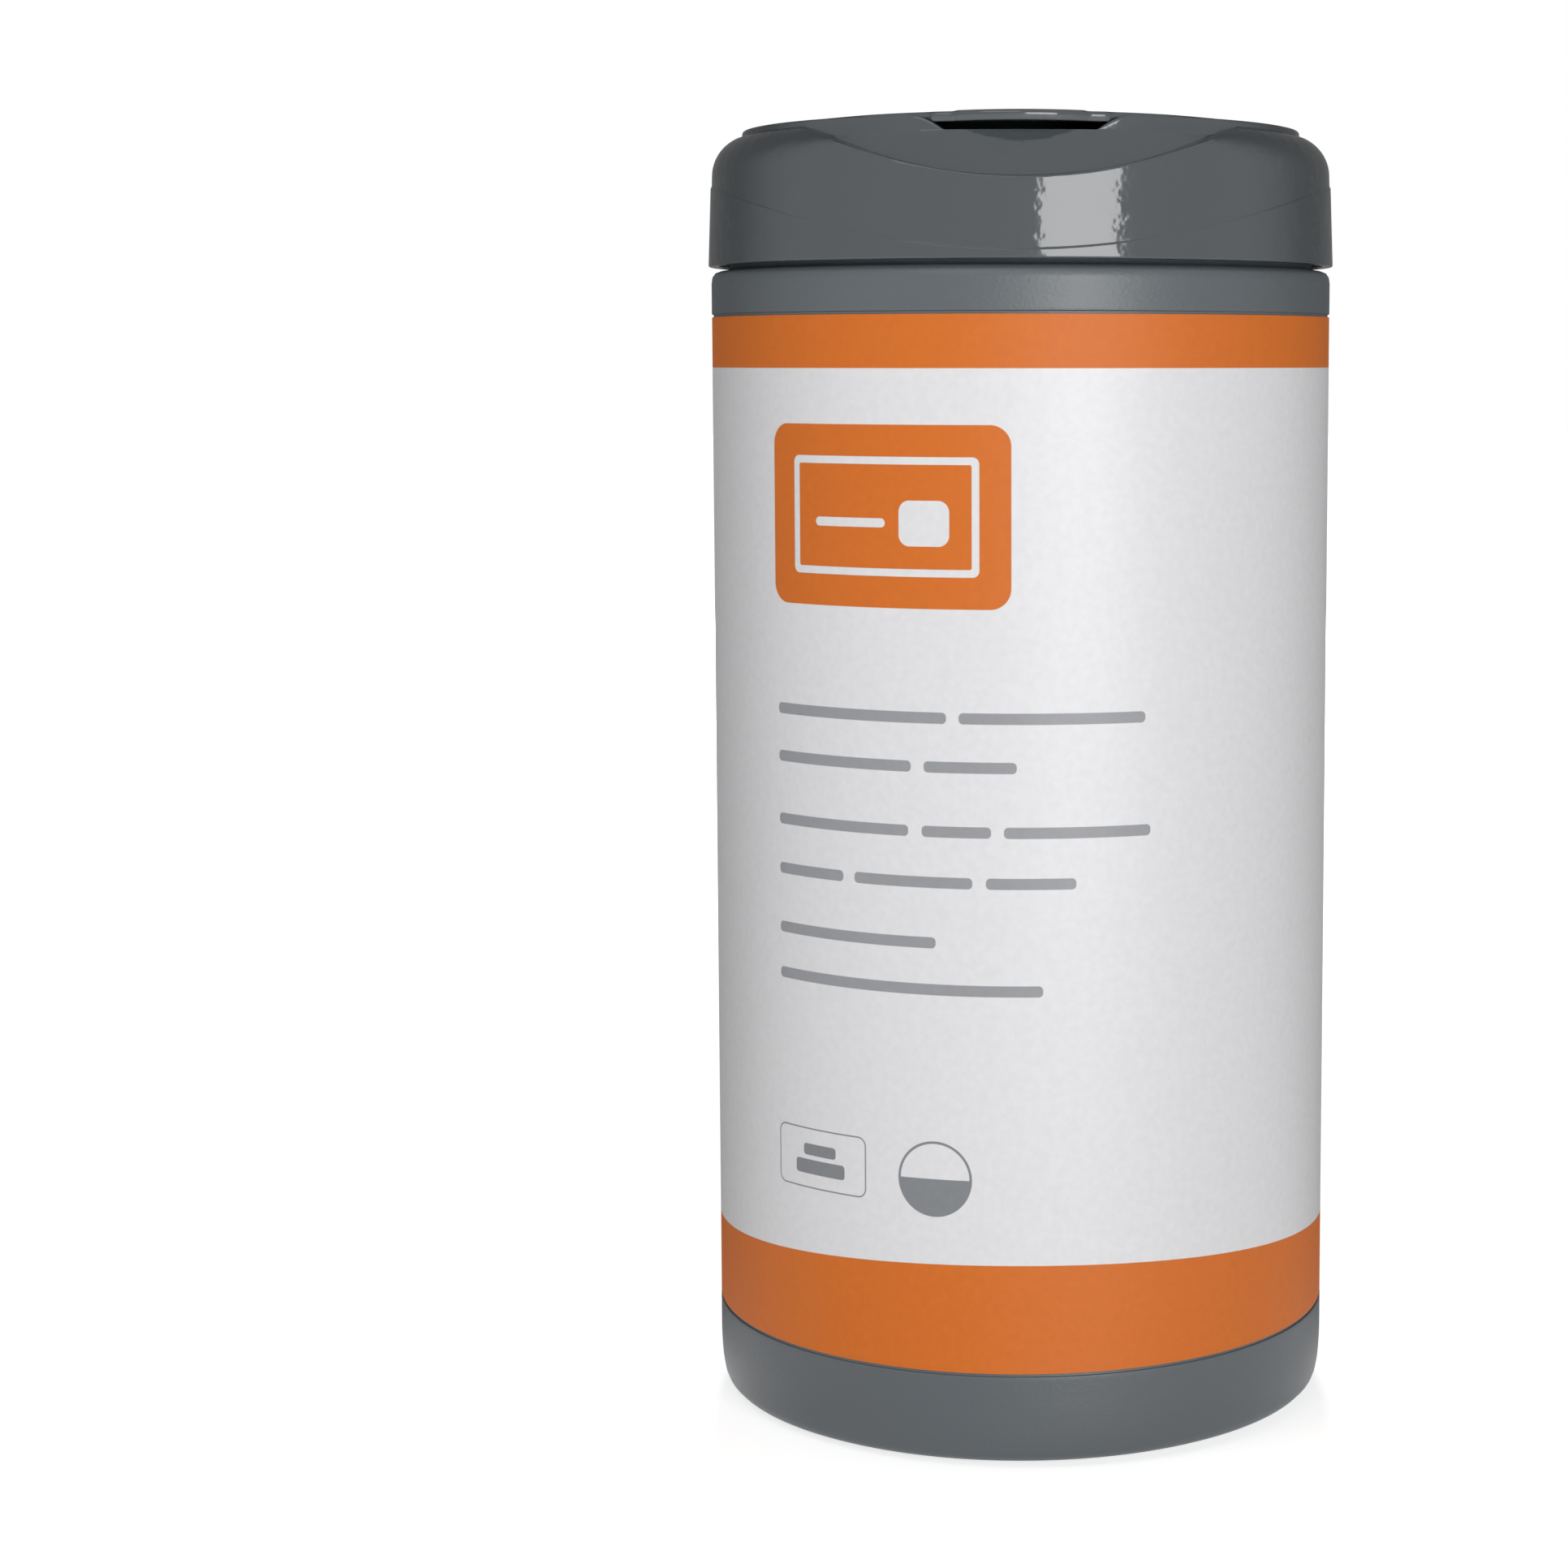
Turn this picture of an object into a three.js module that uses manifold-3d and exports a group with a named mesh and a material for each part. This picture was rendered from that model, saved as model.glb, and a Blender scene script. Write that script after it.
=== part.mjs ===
// A canister of pull-out wet wipes: a blow-moulded tub with a wrap label, a push-on lid whose
// round flap opens on a hinge at the back, and the roll of wipes with its first sheet threaded.
// Millimetres, +Z up. The origin is the middle of the base, and the flap's thumb tab faces -Y.

import * as THREE from "three";
import { mergeVertices } from "three/addons/utils/BufferGeometryUtils.js";
import Module from "manifold-3d";

const wasm = await Module();
wasm.setup();

// How finely round shapes are cut into flats.
const CIRCLE_SIDES = 60;
const ARC_STEPS = 4;
const FULL_TURN = 2 * Math.PI;

// How far a cutter runs past what it cuts, and how deep two joined solids sink into each other.
const OVERCUT = 1;
const WELD = 0.1;

// Tub
const TUB_RADIUS = 44;
const TUB_WALL = 1;
const TUB_HEIGHT = 161.6;
const SHOULDER_DROP = 1.8;
const SHOULDER_WIDTH = 2.6;
const HEEL_WIDTH = 6.4;
const HEEL_HEIGHT = 7.5;
const HEEL_LEAN = 0.75;
const HEEL_SLOPE_HEIGHT = 1.5;
const HEEL_ROUND = 1.3;
const HEEL_INSIDE_RISE = 3.2;
const STAND_WIDTH = 2.6;
const BASE_SLOPE_WIDTH = 3;
const BASE_PUSH_UP = 3;

// Neck that the lid pushes onto, with a narrower mouth that the lid seats on
const NECK_BEAD_RISE = 4;
const NECK_BEAD_HEIGHT = 1.6;
const NECK_BEAD_DEPTH = 0.9;
const MOUTH_STEP = 2.4;
const MOUTH_HEIGHT = 2.2;
const MOUTH_WALL = 1.2;

// Label, in a shallow panel round the tub
const LABEL_FOOT_MARGIN = 13.8;
const LABEL_HEAD_MARGIN = 6.6;
const LABEL_THICKNESS = 0.2;
const LABEL_OVERLAP_WIDTH = 8;
const GLUE_GAP = 0.05;
const PANEL_MARGIN = 0.4;

// Lid shell
const LID_GAP = 0.5;
const LID_HEIGHT = 18.05;
const LID_OVERHANG = 0.25;
const LID_DRAFT = 0.45;
const LID_WALL = 1.3;
const LID_SHOULDER_RADIUS = 5.6;
const LID_SEAT_GAP = 0.3;
const LID_BEAD_HEIGHT = 1.4;
const SNAP_CLEARANCE = 0.15;
const SNAP_GAP = 0.4;

// Raised band low on the skirt, whose top edge is an arch seen from the front and the back
const BAND_THICKNESS = 0.15;
const BAND_FRONT_RISE = 1.1;
const BAND_ARCH_RISE = 9.9;

// Upright ring that the flap closes on, and the well inside it
const RING_INSET = 4.3;
const RING_WALL = 1.4;
const RING_HEIGHT = 0.65;
const DECK_THICKNESS = 1.2;
const WELL_DEPTH = 5.2;
const PLUG_LENGTH = 6;
const PLUG_WALL = 0.9;
const PLUG_CLEARANCE = 0.3;

// Hollow in the front of the lid, under the thumb tab
const SCOOP_DROP = 1.25;
const SCOOP_LEAN = 0.587;
const SCOOP_ARCH_RISE = 16;
const SCOOP_HEIGHT = 6.2;
const DISH_WIDTH = 16.6;
const DISH_HEIGHT = 7.4;
const DISH_DEPTH = 0.5;

// Gap in the ring for a fingertip
const NOTCH_BOTTOM_WIDTH = 20.2;
const NOTCH_SHOULDER_WIDTH = 5.1;
const NOTCH_STEPS = 6;

// Dispensing hole: a round hole with slits, inside a low collar
const HOLE_RADIUS = 4.4;
const SLIT_COUNT = 6;
const SLIT_LENGTH = 4.2;
const SLIT_WIDTH = 1;
const COLLAR_MARGIN = 3.2;
const COLLAR_WALL = 1.2;
const COLLAR_HEIGHT = 2;

// Flap
const FLAP_SEAM = 0.1;
const FLAP_EDGE_HEIGHT = 0.45;
const FLAP_DOME_RISE = 0.7;
const FLAP_EDGE_ROUND = 0.3;
const FLAP_THICKNESS = 1.2;
const FLAP_WELL_CLEARANCE = 0.35;
const FLAP_LIP_DROP = 0.95;
const FLAP_LIP_CLEARANCE = 0.25;
const FLAP_SEAL_CLEARANCE = 0.3;
const FLAP_SEAL_WALL = 1;
const FLAP_SEAL_FLOOR_GAP = 0.6;
const TAB_WIDTH = 17.6;
const TAB_REACH = 1.8;
const TAB_FRONT_RADIUS = 16;
const TAB_STEPS = 10;

// Hinge at the back of the flap
const HINGE_WIDTH = 18;
const HINGE_REACH = 0.4;
const HINGE_LAND_HEIGHT = 1.2;

// Roll of wipes and the first sheet, drawn up from its middle
const ROLL_SIDE_GAP = 0.8;
const ROLL_CORE_RADIUS = 8.5;
const ROLL_HEADROOM = 9.6;
const ROLL_SEAT_GAP = 0.3;
const TURN_PITCH = 3;
const TURN_GROOVE_WIDTH = 0.5;
const TURN_GROOVE_DEPTH = 0.8;
const TURN_STEPS = 28;
const SHEET_PLEATS = 5;
const SHEET_PLEAT_DEPTH = 0.16;
const SHEET_TWIST = 2.4;
const SHEET_CLEARANCE = 1.1;
const SHEET_TIP_HEIGHT = 3.4;
const SHEET_ROOT_DEPTH = 14;
const SHEET_ROOT_OVERLAP = 0.6;
const SHEET_RINGS = 12;
const SHEET_SIDES = 30;

// Heights and radii that follow from the sizes above
const neckRadius = TUB_RADIUS - SHOULDER_WIDTH;
const neckBeadRadius = neckRadius + NECK_BEAD_DEPTH;
const neckBeadBottom = TUB_HEIGHT + NECK_BEAD_RISE;
const mouthRadius = neckRadius - MOUTH_STEP;
const mouthBore = mouthRadius - MOUTH_WALL;
const panelRadius = TUB_RADIUS - LABEL_THICKNESS - GLUE_GAP;
const labelBottom = LABEL_FOOT_MARGIN;
const labelTop = TUB_HEIGHT - LABEL_HEAD_MARGIN;
const lidBottom = TUB_HEIGHT + LID_GAP;
const lidRimRadius = TUB_RADIUS + LID_OVERHANG;
const lidShoulderRadius = lidRimRadius - LID_DRAFT;
const ringRadius = lidShoulderRadius - RING_INSET;
const ringBase = lidBottom + LID_HEIGHT;
const ringTop = ringBase + RING_HEIGHT;
const wellRadius = ringRadius - RING_WALL;
const deckTop = ringTop - WELL_DEPTH;
const deckUnderside = deckTop - DECK_THICKNESS;
const mouthTop = deckUnderside - LID_SEAT_GAP;
const mouthBottom = mouthTop - MOUTH_HEIGHT;
const shoulderCentreR = lidShoulderRadius - LID_SHOULDER_RADIUS;
const shoulderCentreZ = ringBase - Math.sqrt(LID_SHOULDER_RADIUS ** 2 - (ringRadius - shoulderCentreR) ** 2);
const scoopTop = ringBase - SCOOP_DROP;
const collarInner = HOLE_RADIUS + SLIT_LENGTH + COLLAR_MARGIN;
const collarOuter = collarInner + COLLAR_WALL;
const flapBottom = ringTop + FLAP_SEAM;
const flapEdgeTop = flapBottom + FLAP_EDGE_HEIGHT;
const flapCrown = flapEdgeTop + FLAP_DOME_RISE;
const flapLipBottom = flapBottom - FLAP_LIP_DROP;
const flapPlateRadius = wellRadius - FLAP_WELL_CLEARANCE;
const hingeLine = ringRadius + HINGE_REACH;
const tubFloor = BASE_PUSH_UP + TUB_WALL;
const rollRadius = mouthBore - ROLL_SIDE_GAP;
const rollBottom = tubFloor + ROLL_SEAT_GAP;
const rollTop = TUB_HEIGHT - ROLL_HEADROOM;

// Turns a closed three.js geometry into a solid that can be joined and cut.
function solidOf(geometry) {
  const bare = geometry.clone();
  bare.deleteAttribute("normal");
  bare.deleteAttribute("uv");
  const merged = mergeVertices(bare, 1e-4);
  const mesh = new wasm.Mesh({
    numProp: 3,
    vertProperties: merged.attributes.position.array,
    triVerts: new Uint32Array(merged.index.array),
  });
  return new wasm.Manifold(mesh);
}

// Gives a solid back as a three.js geometry.
function geometryOf(solid) {
  const mesh = solid.getMesh();
  const stride = mesh.numProp;
  const points = new Float32Array(mesh.numVert * 3);
  for (let i = 0; i < mesh.numVert; i += 1) {
    points.set(mesh.vertProperties.subarray(i * stride, i * stride + 3), i * 3);
  }
  const geometry = new THREE.BufferGeometry();
  geometry.setAttribute("position", new THREE.BufferAttribute(points, 3));
  geometry.setIndex(new THREE.BufferAttribute(mesh.triVerts, 1));
  geometry.computeVertexNormals();
  return geometry;
}

// Points on an elliptical arc, from one angle to another, both ends included.
function arc(centreR, centreZ, radiusR, radiusZ, fromDegrees, toDegrees, steps = ARC_STEPS) {
  const points = [];
  for (let i = 0; i <= steps; i += 1) {
    const degrees = fromDegrees + ((toDegrees - fromDegrees) * i) / steps;
    const angle = THREE.MathUtils.degToRad(degrees);
    points.push([centreR + radiusR * Math.cos(angle), centreZ + radiusZ * Math.sin(angle)]);
  }
  return points;
}

// The angle above level at which an arc of this radius has come in to a distance from its centre.
function climbDegrees(distance, radius) {
  return THREE.MathUtils.radToDeg(Math.acos(distance / radius));
}

// Spins a closed outline of [radius, height] points, drawn anticlockwise, round the Z axis.
function turned(outline) {
  const profile = [...outline, outline[0]].map(([r, z]) => new THREE.Vector2(Math.max(r, 0), z));
  const geometry = new THREE.LatheGeometry(profile, CIRCLE_SIDES);
  geometry.rotateX(Math.PI / 2);
  return solidOf(geometry);
}

// A turned ring with a plain rectangular section.
function ring(innerRadius, outerRadius, bottom, top) {
  return turned([
    [innerRadius, bottom],
    [outerRadius, bottom],
    [outerRadius, top],
    [innerRadius, top],
  ]);
}

// A flat outline in X and Z, carried along Y from one place to another.
function frontPrism(outline, fromY, toY) {
  const shape = new THREE.Shape(outline.map(([x, z]) => new THREE.Vector2(x, z)));
  const geometry = new THREE.ExtrudeGeometry(shape, { depth: toY - fromY, bevelEnabled: false });
  geometry.rotateX(Math.PI / 2);
  geometry.translate(0, toY, 0);
  return solidOf(geometry);
}

// A flat outline in X and Y, carried up Z.
function upPrism(outline, bottom, top) {
  const shape = new THREE.Shape(outline.map(([x, y]) => new THREE.Vector2(x, y)));
  const geometry = new THREE.ExtrudeGeometry(shape, { depth: top - bottom, bevelEnabled: false });
  geometry.translate(0, 0, bottom);
  return solidOf(geometry);
}

// A block between two corners.
function block(low, high) {
  const size = high.map((value, i) => value - low[i]);
  const geometry = new THREE.BoxGeometry(...size);
  geometry.translate(...low.map((value, i) => value + size[i] / 2));
  return solidOf(geometry);
}

// Everything above an arch that looks the same from the front and from the back.
function aboveArch(bottom, rise, fromY, toY) {
  const reach = lidRimRadius + 2 * OVERCUT;
  const steps = 24;
  const arch = [];
  for (let i = 0; i <= steps; i += 1) {
    const x = reach * ((2 * i) / steps - 1);
    arch.push([x, bottom + rise * (x / TUB_RADIUS) ** 2]);
  }
  const top = Math.max(flapCrown, arch[0][1]) + OVERCUT;
  return frontPrism([...arch, [reach, top], [-reach, top]], fromY, toY);
}

// The heel's outside: a low slope out from the standing ring, a tight bend, then a slight lean.
function heelOutline(standOuter) {
  const bendRadius = TUB_RADIUS - HEEL_LEAN;
  const slope = Math.atan2(HEEL_SLOPE_HEIGHT, bendRadius - standOuter);
  const lean = Math.atan2(HEEL_LEAN, HEEL_HEIGHT - HEEL_SLOPE_HEIGHT);
  const setback = HEEL_ROUND * Math.tan((Math.PI / 2 - slope - lean) / 2);
  const centreR = bendRadius - setback * Math.cos(slope) - HEEL_ROUND * Math.sin(slope);
  const centreZ = HEEL_SLOPE_HEIGHT - setback * Math.sin(slope) + HEEL_ROUND * Math.cos(slope);
  const fromDegrees = THREE.MathUtils.radToDeg(slope) - 90;
  const toDegrees = -THREE.MathUtils.radToDeg(lean);
  return [
    [standOuter, 0],
    ...arc(centreR, centreZ, HEEL_ROUND, HEEL_ROUND, fromDegrees, toDegrees),
    [TUB_RADIUS, HEEL_HEIGHT],
  ];
}

// The blow-moulded tub: pushed-up base, bent heel, label panel, shoulder, neck and mouth.
function tubSolid() {
  const standOuter = TUB_RADIUS - HEEL_WIDTH;
  const standInner = standOuter - STAND_WIDTH;
  const slopeInner = standInner - BASE_SLOPE_WIDTH;
  const wallInner = panelRadius - TUB_WALL;
  const shoulderStart = TUB_HEIGHT - SHOULDER_DROP;
  const outside = [
    [0, BASE_PUSH_UP],
    [slopeInner, BASE_PUSH_UP],
    [standInner, 0],
    ...heelOutline(standOuter),
    [TUB_RADIUS, labelBottom - PANEL_MARGIN],
    [panelRadius, labelBottom - PANEL_MARGIN],
    [panelRadius, labelTop + PANEL_MARGIN],
    [TUB_RADIUS, labelTop + PANEL_MARGIN],
    ...arc(neckRadius, shoulderStart, SHOULDER_WIDTH, SHOULDER_DROP, 0, 90),
    [neckRadius, neckBeadBottom],
    [neckBeadRadius, neckBeadBottom + NECK_BEAD_HEIGHT / 2],
    [neckRadius, neckBeadBottom + NECK_BEAD_HEIGHT],
    [neckRadius, mouthBottom - MOUTH_STEP / 2],
    [mouthRadius, mouthBottom],
    [mouthRadius, mouthTop],
  ];
  const inside = [
    [mouthBore, mouthTop],
    [mouthBore, mouthBottom - TUB_WALL],
    [neckRadius - TUB_WALL, mouthBottom - TUB_WALL - MOUTH_STEP / 2],
    [neckRadius - TUB_WALL, TUB_HEIGHT - TUB_WALL],
    [wallInner, shoulderStart - TUB_WALL],
    ...arc(
      standOuter,
      HEEL_INSIDE_RISE + TUB_WALL,
      wallInner - standOuter,
      HEEL_INSIDE_RISE,
      0,
      -90,
    ),
    [standInner, TUB_WALL],
    [slopeInner, tubFloor],
    [0, tubFloor],
  ];
  return turned([...outside, ...inside]);
}

// The label: one sheet wrapped round the tub, its end lapped over its start at the back.
function labelSolid() {
  const inner = panelRadius + GLUE_GAP / 2;
  const outer = inner + LABEL_THICKNESS;
  const sheet = ring(inner, outer, labelBottom, labelTop);
  const lapOuter = outer + LABEL_THICKNESS;
  const lapRing = ring(outer - LABEL_THICKNESS / 2, lapOuter, labelBottom, labelTop);
  const halfLap = LABEL_OVERLAP_WIDTH / 2;
  const lapWindow = block([-halfLap, 0, labelBottom], [halfLap, lapOuter + OVERCUT, labelTop]);
  return sheet.add(lapRing.intersect(lapWindow));
}

// The outside of the lid's skirt at a height, leaning in a little towards the shoulder.
function skirtRadius(height) {
  const share = (height - lidBottom) / (shoulderCentreZ - lidBottom);
  return lidRimRadius - LID_DRAFT * share;
}

// The lid's shell: skirt, shoulder, ring, well and deck, with the snap bead inside the skirt.
function lidShell() {
  const outside = [
    [0, lidBottom],
    [lidRimRadius, lidBottom],
    ...arc(
      shoulderCentreR,
      shoulderCentreZ,
      LID_SHOULDER_RADIUS,
      LID_SHOULDER_RADIUS,
      0,
      climbDegrees(ringRadius - shoulderCentreR, LID_SHOULDER_RADIUS),
      7,
    ),
    [ringRadius, ringTop],
    [wellRadius, ringTop],
    [wellRadius, deckTop],
    [0, deckTop],
  ];
  const beadTop = neckBeadBottom - SNAP_GAP;
  const beadMiddle = beadTop - LID_BEAD_HEIGHT / 2;
  const beadBottom = beadTop - LID_BEAD_HEIGHT;
  const grooveRadius = LID_SHOULDER_RADIUS - LID_WALL;
  const wellOuter = ringRadius - WELD * 2;
  const inside = [
    [0, lidBottom - OVERCUT],
    [skirtRadius(lidBottom) - LID_WALL, lidBottom - OVERCUT],
    [skirtRadius(beadBottom) - LID_WALL, beadBottom],
    [neckBeadRadius + SNAP_CLEARANCE, beadMiddle],
    [skirtRadius(beadTop) - LID_WALL, beadTop],
    ...arc(
      shoulderCentreR,
      shoulderCentreZ,
      grooveRadius,
      grooveRadius,
      0,
      climbDegrees(wellOuter - shoulderCentreR, grooveRadius),
    ),
    [wellOuter, deckUnderside],
    [0, deckUnderside],
  ];
  return turned(outside).subtract(turned(inside));
}

// The leaning cone that the scoop is cut to, moved in by a wall where it backs the cut.
function scoopRegion(inset) {
  const foot = scoopTop - SCOOP_HEIGHT - LID_WALL - OVERCUT;
  const innerTop = ringRadius - inset * Math.hypot(1, SCOOP_LEAN);
  const innerFoot = innerTop + (scoopTop - foot) * SCOOP_LEAN;
  const farOut = lidRimRadius + 2 * OVERCUT;
  const cone = turned([
    [innerTop, scoopTop],
    [innerFoot, foot],
    [farOut, foot],
    [farOut, flapCrown],
    [ringRadius, flapCrown],
    [ringRadius, scoopTop],
  ]);
  return cone.intersect(aboveArch(scoopTop - SCOOP_HEIGHT - inset, SCOOP_ARCH_RISE, -farOut, 0));
}

// The hollow under the lid's shoulder, which the scoop's backing may fill.
function shoulderHollow() {
  const inner = wellRadius + RING_WALL / 2;
  const bulge = LID_SHOULDER_RADIUS - LID_WALL / 2;
  return turned([
    [inner, deckUnderside],
    [lidRimRadius - LID_WALL, shoulderCentreZ - LID_SHOULDER_RADIUS],
    ...arc(
      shoulderCentreR,
      shoulderCentreZ,
      bulge,
      bulge,
      0,
      climbDegrees(ringRadius - shoulderCentreR, bulge),
    ),
    [inner, scoopTop],
  ]);
}

// The shallow dish for a thumb, in the middle of the scoop.
function thumbDish() {
  const geometry = new THREE.SphereGeometry(0.5, 24, 16);
  geometry.scale(DISH_WIDTH, 2 * DISH_DEPTH, DISH_HEIGHT);
  geometry.rotateX(-Math.atan(SCOOP_LEAN));
  geometry.translate(0, -ringRadius, scoopTop);
  return solidOf(geometry);
}

// The finger gap's outline, seen from the front: bulging shoulders down to a flat bottom.
function notchOutline(inset) {
  const half = NOTCH_BOTTOM_WIDTH / 2 - inset;
  const rise = ringTop - scoopTop;
  const right = [];
  for (let i = 0; i <= NOTCH_STEPS; i += 1) {
    const share = i / NOTCH_STEPS;
    right.push([half + NOTCH_SHOULDER_WIDTH * share, scoopTop + rise * share * (2 - share)]);
  }
  const left = right.map(([x, z]) => [-x, z]).reverse();
  const outer = half + NOTCH_SHOULDER_WIDTH;
  const over = flapCrown + OVERCUT;
  return [...right, [outer, over], [-outer, over], ...left];
}

// The dispensing hole with its slits, as a cutter through the deck.
function holeCutter() {
  const low = deckUnderside - OVERCUT;
  const high = deckTop + COLLAR_HEIGHT + OVERCUT;
  let cutter = ring(0, HOLE_RADIUS, low, high);
  for (let i = 0; i < SLIT_COUNT; i += 1) {
    const slit = block([0, -SLIT_WIDTH / 2, low], [HOLE_RADIUS + SLIT_LENGTH, SLIT_WIDTH / 2, high]);
    cutter = cutter.add(slit.rotate([0, 0, (360 * i) / SLIT_COUNT]));
  }
  return cutter;
}

// The raised band round the foot of the skirt, under its arch.
function skirtBand() {
  const outside = turned([
    [lidRimRadius - LID_WALL / 2, lidBottom],
    [lidRimRadius + BAND_THICKNESS, lidBottom],
    [lidShoulderRadius + BAND_THICKNESS, shoulderCentreZ],
    [lidShoulderRadius - LID_WALL / 2, shoulderCentreZ],
  ]);
  const reach = lidRimRadius + 2 * OVERCUT;
  return outside.subtract(aboveArch(lidBottom + BAND_FRONT_RISE, BAND_ARCH_RISE, -reach, reach));
}

// A straight-backed block at the back of the ring, where the hinge line runs.
function hingeLand(bottom, top) {
  const half = HINGE_WIDTH / 2;
  const slab = block([-half, wellRadius, bottom], [half, hingeLine, top]);
  return slab.subtract(ring(0, wellRadius + RING_WALL / 2, bottom - OVERCUT, top + OVERCUT));
}

// The lid: its shell with the scoop, finger notch and dispensing hole, and the plug in the mouth.
function lidSolid() {
  const backing = scoopRegion(LID_WALL).intersect(shoulderHollow());
  const plugOuter = mouthBore - PLUG_CLEARANCE;
  const plug = ring(plugOuter - PLUG_WALL, plugOuter, deckUnderside - PLUG_LENGTH, deckUnderside + WELD);
  const collar = ring(collarInner, collarOuter, deckTop - WELD, deckTop + COLLAR_HEIGHT);
  const notch = frontPrism(notchOutline(0), -lidRimRadius - OVERCUT, 0);
  return lidShell()
    .add(backing)
    .add(skirtBand())
    .add(plug)
    .add(collar)
    .add(hingeLand(ringTop - HINGE_LAND_HEIGHT, ringTop))
    .subtract(scoopRegion(0))
    .subtract(thumbDish())
    .subtract(notch)
    .subtract(holeCutter());
}

// The thumb tab: a tongue with a bowed front that stands out over the scoop.
function tabSolid() {
  const half = TAB_WIDTH / 2;
  const centreY = TAB_FRONT_RADIUS - ringRadius - TAB_REACH;
  const spread = THREE.MathUtils.radToDeg(Math.asin(half / TAB_FRONT_RADIUS));
  const outline = [
    ...arc(0, centreY, TAB_FRONT_RADIUS, TAB_FRONT_RADIUS, 270 - spread, 270 + spread, TAB_STEPS),
    [half, -wellRadius],
    [-half, -wellRadius],
  ];
  return upPrism(outline, flapLipBottom, flapEdgeTop);
}

// The flap: a domed disc with a thumb tab, a lip in the finger notch and a seal round the collar.
function flapSolid() {
  const domeRadius = (ringRadius ** 2 + FLAP_DOME_RISE ** 2) / (2 * FLAP_DOME_RISE);
  const domeCentre = flapCrown - domeRadius;
  const domeAngle = climbDegrees(ringRadius - FLAP_EDGE_ROUND, domeRadius);
  const underRadius = domeRadius - FLAP_THICKNESS;
  const underAngle = climbDegrees(flapPlateRadius, underRadius);
  const disc = turned([
    ...arc(0, domeCentre, underRadius, underRadius, 90, underAngle),
    [flapPlateRadius, flapBottom],
    [ringRadius, flapBottom],
    [ringRadius, flapEdgeTop - FLAP_EDGE_ROUND],
    ...arc(0, domeCentre, domeRadius, domeRadius, domeAngle, 90),
  ]);
  const lipRing = ring(flapPlateRadius, ringRadius, flapLipBottom, flapBottom + WELD);
  const lip = lipRing.intersect(frontPrism(notchOutline(FLAP_LIP_CLEARANCE), -lidRimRadius, 0));
  const sealInner = collarOuter + FLAP_SEAL_CLEARANCE;
  const sealTop = flapCrown - FLAP_THICKNESS + WELD;
  const seal = ring(sealInner, sealInner + FLAP_SEAL_WALL, deckTop + FLAP_SEAL_FLOOR_GAP, sealTop);
  const leaf = hingeLand(flapBottom, flapEdgeTop - FLAP_EDGE_ROUND / 2);
  return disc.add(lip).add(seal).add(leaf).add(tabSolid());
}

// The groove between the roll's turns: a narrow strip that winds outwards, seen from above.
function turnGroove() {
  const turns = Math.floor((rollRadius - ROLL_CORE_RADIUS) / TURN_PITCH - 0.6);
  const count = turns * TURN_STEPS;
  const start = ROLL_CORE_RADIUS + TURN_PITCH / 2;
  const edge = (offset) => {
    const points = [];
    for (let i = 0; i <= count; i += 1) {
      const angle = (FULL_TURN * i) / TURN_STEPS;
      const radius = start + offset + (TURN_PITCH * i) / TURN_STEPS;
      points.push([radius * Math.cos(angle), radius * Math.sin(angle)]);
    }
    return points;
  };
  const outline = [...edge(TURN_GROOVE_WIDTH), ...edge(0).reverse()];
  return upPrism(outline, rollTop - TURN_GROOVE_DEPTH, rollTop + OVERCUT);
}

// The first sheet, gathered and twisted, from inside the roll's core up through the hole.
function firstSheet() {
  const bottom = rollTop - SHEET_ROOT_DEPTH;
  const top = deckTop + SHEET_TIP_HEIGHT;
  const neck = HOLE_RADIUS - SHEET_CLEARANCE;
  const root = ROLL_CORE_RADIUS + SHEET_ROOT_OVERLAP;
  const points = [];
  for (let j = 0; j <= SHEET_RINGS; j += 1) {
    const share = j / SHEET_RINGS;
    const height = bottom + (top - bottom) * share;
    const spread = Math.max(0, 1 - share / 0.72);
    const widest = neck + (root - neck) * spread ** 2;
    for (let i = 0; i < SHEET_SIDES; i += 1) {
      const angle = (FULL_TURN * i) / SHEET_SIDES;
      const pleat = 1 + SHEET_PLEAT_DEPTH * Math.cos(SHEET_PLEATS * angle + SHEET_TWIST * share);
      const radius = (widest * pleat) / (1 + SHEET_PLEAT_DEPTH);
      points.push(radius * Math.cos(angle), radius * Math.sin(angle), height);
    }
  }
  const faces = [];
  const at = (j, i) => j * SHEET_SIDES + (i % SHEET_SIDES);
  for (let j = 0; j < SHEET_RINGS; j += 1) {
    for (let i = 0; i < SHEET_SIDES; i += 1) {
      faces.push(at(j, i), at(j, i + 1), at(j + 1, i + 1), at(j, i), at(j + 1, i + 1), at(j + 1, i));
    }
  }
  const lowCentre = points.length / 3;
  const highCentre = lowCentre + 1;
  points.push(0, 0, bottom, 0, 0, top);
  for (let i = 0; i < SHEET_SIDES; i += 1) {
    faces.push(lowCentre, at(0, i + 1), at(0, i));
    faces.push(highCentre, at(SHEET_RINGS, i), at(SHEET_RINGS, i + 1));
  }
  const geometry = new THREE.BufferGeometry();
  geometry.setAttribute("position", new THREE.Float32BufferAttribute(points, 3));
  geometry.setIndex(faces);
  return solidOf(geometry);
}

// The wound roll with its open core, and the first sheet still joined to its inmost turn.
function rollSolid() {
  const wound = ring(ROLL_CORE_RADIUS, rollRadius, rollBottom, rollTop);
  return wound.subtract(turnGroove()).add(firstSheet());
}

// One named mesh with its own finish.
function piece(name, solid, color, roughness) {
  const material = new THREE.MeshStandardMaterial({ color, roughness, metalness: 0 });
  const mesh = new THREE.Mesh(geometryOf(solid), material);
  mesh.name = name;
  return mesh;
}

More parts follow.
